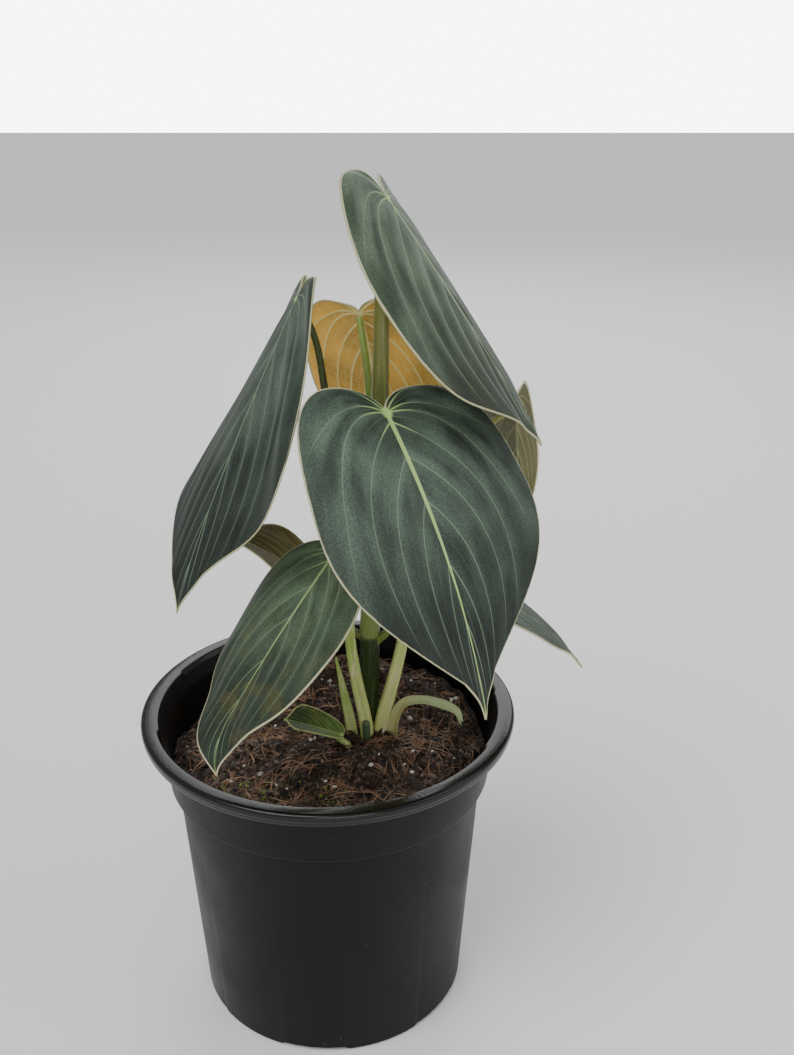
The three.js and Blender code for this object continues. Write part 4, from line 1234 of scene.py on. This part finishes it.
class PHILO_OT_sheaths(bpy.types.Operator):
    """Build the short sheath at the crown, the withered one and the small cut stub"""

    bl_idname = "philo.sheaths"
    bl_label = "Sheaths"

    def execute(self, context):
        green = stalk_finish("sheath_green", **SKINS["sheath_green"])
        add_tube("crown_sheath_skin", CROWN_SHEATH, green, "sheath", "crown_sheath", groove=0.4)
        dry = stalk_finish("sheath_dry", **SKINS["sheath_dry"])
        points, quads, along = ribbon(WITHERED_SHEATH["path"], WITHERED_SHEATH["radii"])
        strip = make_piece("withered_sheath_skin", points, quads, [dry], fields={"along": along})
        finish_piece(strip, "withered", "withered_sheath")
        stub = stalk_finish("stub_green", **SKINS["stub_green"])
        add_tube("cut_stub", CUT_STUB, stub, "stalk", None, groove=0.1, count=30)
        return {"FINISHED"}


class PHILO_OT_leaves(bpy.types.Operator):
    """Build the velvety leaf blades with their veins and pale margins"""

    bl_idname = "philo.leaves"
    bl_label = "Leaves"

    def execute(self, context):
        props = context.scene.philo_leaf
        for name, leaf in LEAVES.items():
            look = FINISH[name]
            large = leaf["length"] > LARGE_BLADE
            points, quads, uv, fields, slots = blade_surface(
                leaf, rows_per_vein=14 if large else 8, cols=34 if large else 20, quilt=props.quilt,
                ruffle=props.ruffle / MM * leaf["length"] / RUFFLE_LENGTH, rib_size=look["rib"] * 0.8)
            scale = leaf["length"] / PATTERN_LENGTH
            skins = [velvet(f"velvet_{name}", look, props, scale),
                     underside(f"underside_{name}", look, scale)]
            blade = make_piece(f"leaf_{name}", points, quads, skins, uv=uv, fields=fields, slots=slots)
            finish_piece(blade, look["slot"], f"blade_{name}")
        return {"FINISHED"}


class PHILO_OT_stage(bpy.types.Operator):
    """Set up the floor, the soft studio lights and the camera"""

    bl_idname = "philo.stage"
    bl_label = "Stage"

    def execute(self, context):
        props = context.scene.philo_stage
        ground = Finish("floor_paint", Roughness=0.7)
        patches = ground.ramp(ground.noise(3.0, 2.0), 0.3, 0.7, 0.0, 0.06)
        ground.colour(ground.mix(patches, tuple(props.floor), FLOOR_PATCH))
        reach = np.linspace(-FLOOR_REACH, FLOOR_REACH, FLOOR_LINES)
        x, y = np.meshgrid(reach, reach, indexing="ij")
        points = np.stack([x, y, 0 * x], -1).reshape(-1, 3)
        floor = make_piece("floor", points, grid_quads(FLOOR_LINES, FLOOR_LINES), [ground.material])
        world = context.scene.world or bpy.data.worlds.new("studio")
        context.scene.world = world
        world.use_nodes = True
        back = world.node_tree.nodes["Background"]
        back.inputs["Color"].default_value = BACKDROP
        # The backdrop is white to the camera and dimmer to everything it lights.
        seen = world.node_tree.nodes.new("ShaderNodeLightPath").outputs["Is Camera Ray"]
        level = world.node_tree.nodes.new("ShaderNodeMapRange")
        world.node_tree.links.new(seen, level.inputs["Value"])
        level.inputs["To Min"].default_value = BACKDROP_LIGHT * props.light
        level.inputs["To Max"].default_value = BACKDROP_SEEN * props.light
        world.node_tree.links.new(level.outputs["Result"], back.inputs["Strength"])
        for name, (kind, place, size, power) in LAMPS.items():
            data = bpy.data.lights.new(name, kind)
            if kind == "SUN":
                data.angle = size
            else:
                data.shape = "SQUARE"
                data.size = size
            data.energy = power * props.light
            lamp = bpy.data.objects.new(name, data)
            lamp.location = place
            way = np.array(LAMP_AIM) - np.array(place)
            tilt = math.atan2(math.hypot(way[0], way[1]), -way[2])
            lamp.rotation_euler = (tilt, 0, math.atan2(-way[0], way[1]))
            context.scene.collection.objects.link(lamp)
        lens = bpy.data.cameras.new("camera")
        lens.lens = CAMERA_LENS
        lens.sensor_width = SENSOR_WIDTH
        camera = bpy.data.objects.new("camera", lens)
        camera.location = np.array(CAMERA_PLACE) * MM
        camera.rotation_euler = (math.radians(90 - CAMERA_PITCH), 0, 0)
        lens.clip_start = 0.01
        lens.clip_end = 20.0
        context.scene.collection.objects.link(camera)
        context.scene.camera = camera
        return {"FINISHED"}


class PHILO_PT_panel(bpy.types.Panel):
    """Lists the pieces and their settings"""

    bl_label = "Philodendron"
    bl_idname = "PHILO_PT_panel"
    bl_space_type = "VIEW_3D"
    bl_region_type = "UI"
    bl_category = "Philodendron"

    def draw(self, context):
        layout = self.layout
        for operator in PIECES:
            layout.operator(operator.bl_idname)
        for group in ("philo_pot", "philo_mix", "philo_leaf", "philo_stage"):
            settings = getattr(context.scene, group)
            for key in settings.bl_rna.properties.keys():
                if key not in ("rna_type", "name"):
                    layout.prop(settings, key)


SETTINGS = {
    "philo_pot": PHILO_PotSettings,
    "philo_mix": PHILO_MixSettings,
    "philo_leaf": PHILO_LeafSettings,
    "philo_stage": PHILO_StageSettings,
}
PIECES = (PHILO_OT_stage, PHILO_OT_pot, PHILO_OT_mix, PHILO_OT_mix_bits, PHILO_OT_stalks, PHILO_OT_sheaths,
          PHILO_OT_leaves)


def register():
    """Register the settings, the pieces and the panel"""
    for name, group in SETTINGS.items():
        bpy.utils.register_class(group)
        setattr(bpy.types.Scene, name, bpy.props.PointerProperty(type=group))
    for operator in PIECES:
        bpy.utils.register_class(operator)
    bpy.utils.register_class(PHILO_PT_panel)


def unregister():
    """Take back what register has done, in the opposite order"""
    bpy.utils.unregister_class(PHILO_PT_panel)
    for operator in reversed(PIECES):
        bpy.utils.unregister_class(operator)
    for name, group in SETTINGS.items():
        delattr(bpy.types.Scene, name)
        bpy.utils.unregister_class(group)


def main():
    """Build every piece"""
    register()
    for operator in PIECES:
        group, name = operator.bl_idname.split(".")
        getattr(getattr(bpy.ops, group), name)()


if __name__ == "__main__":
    main()
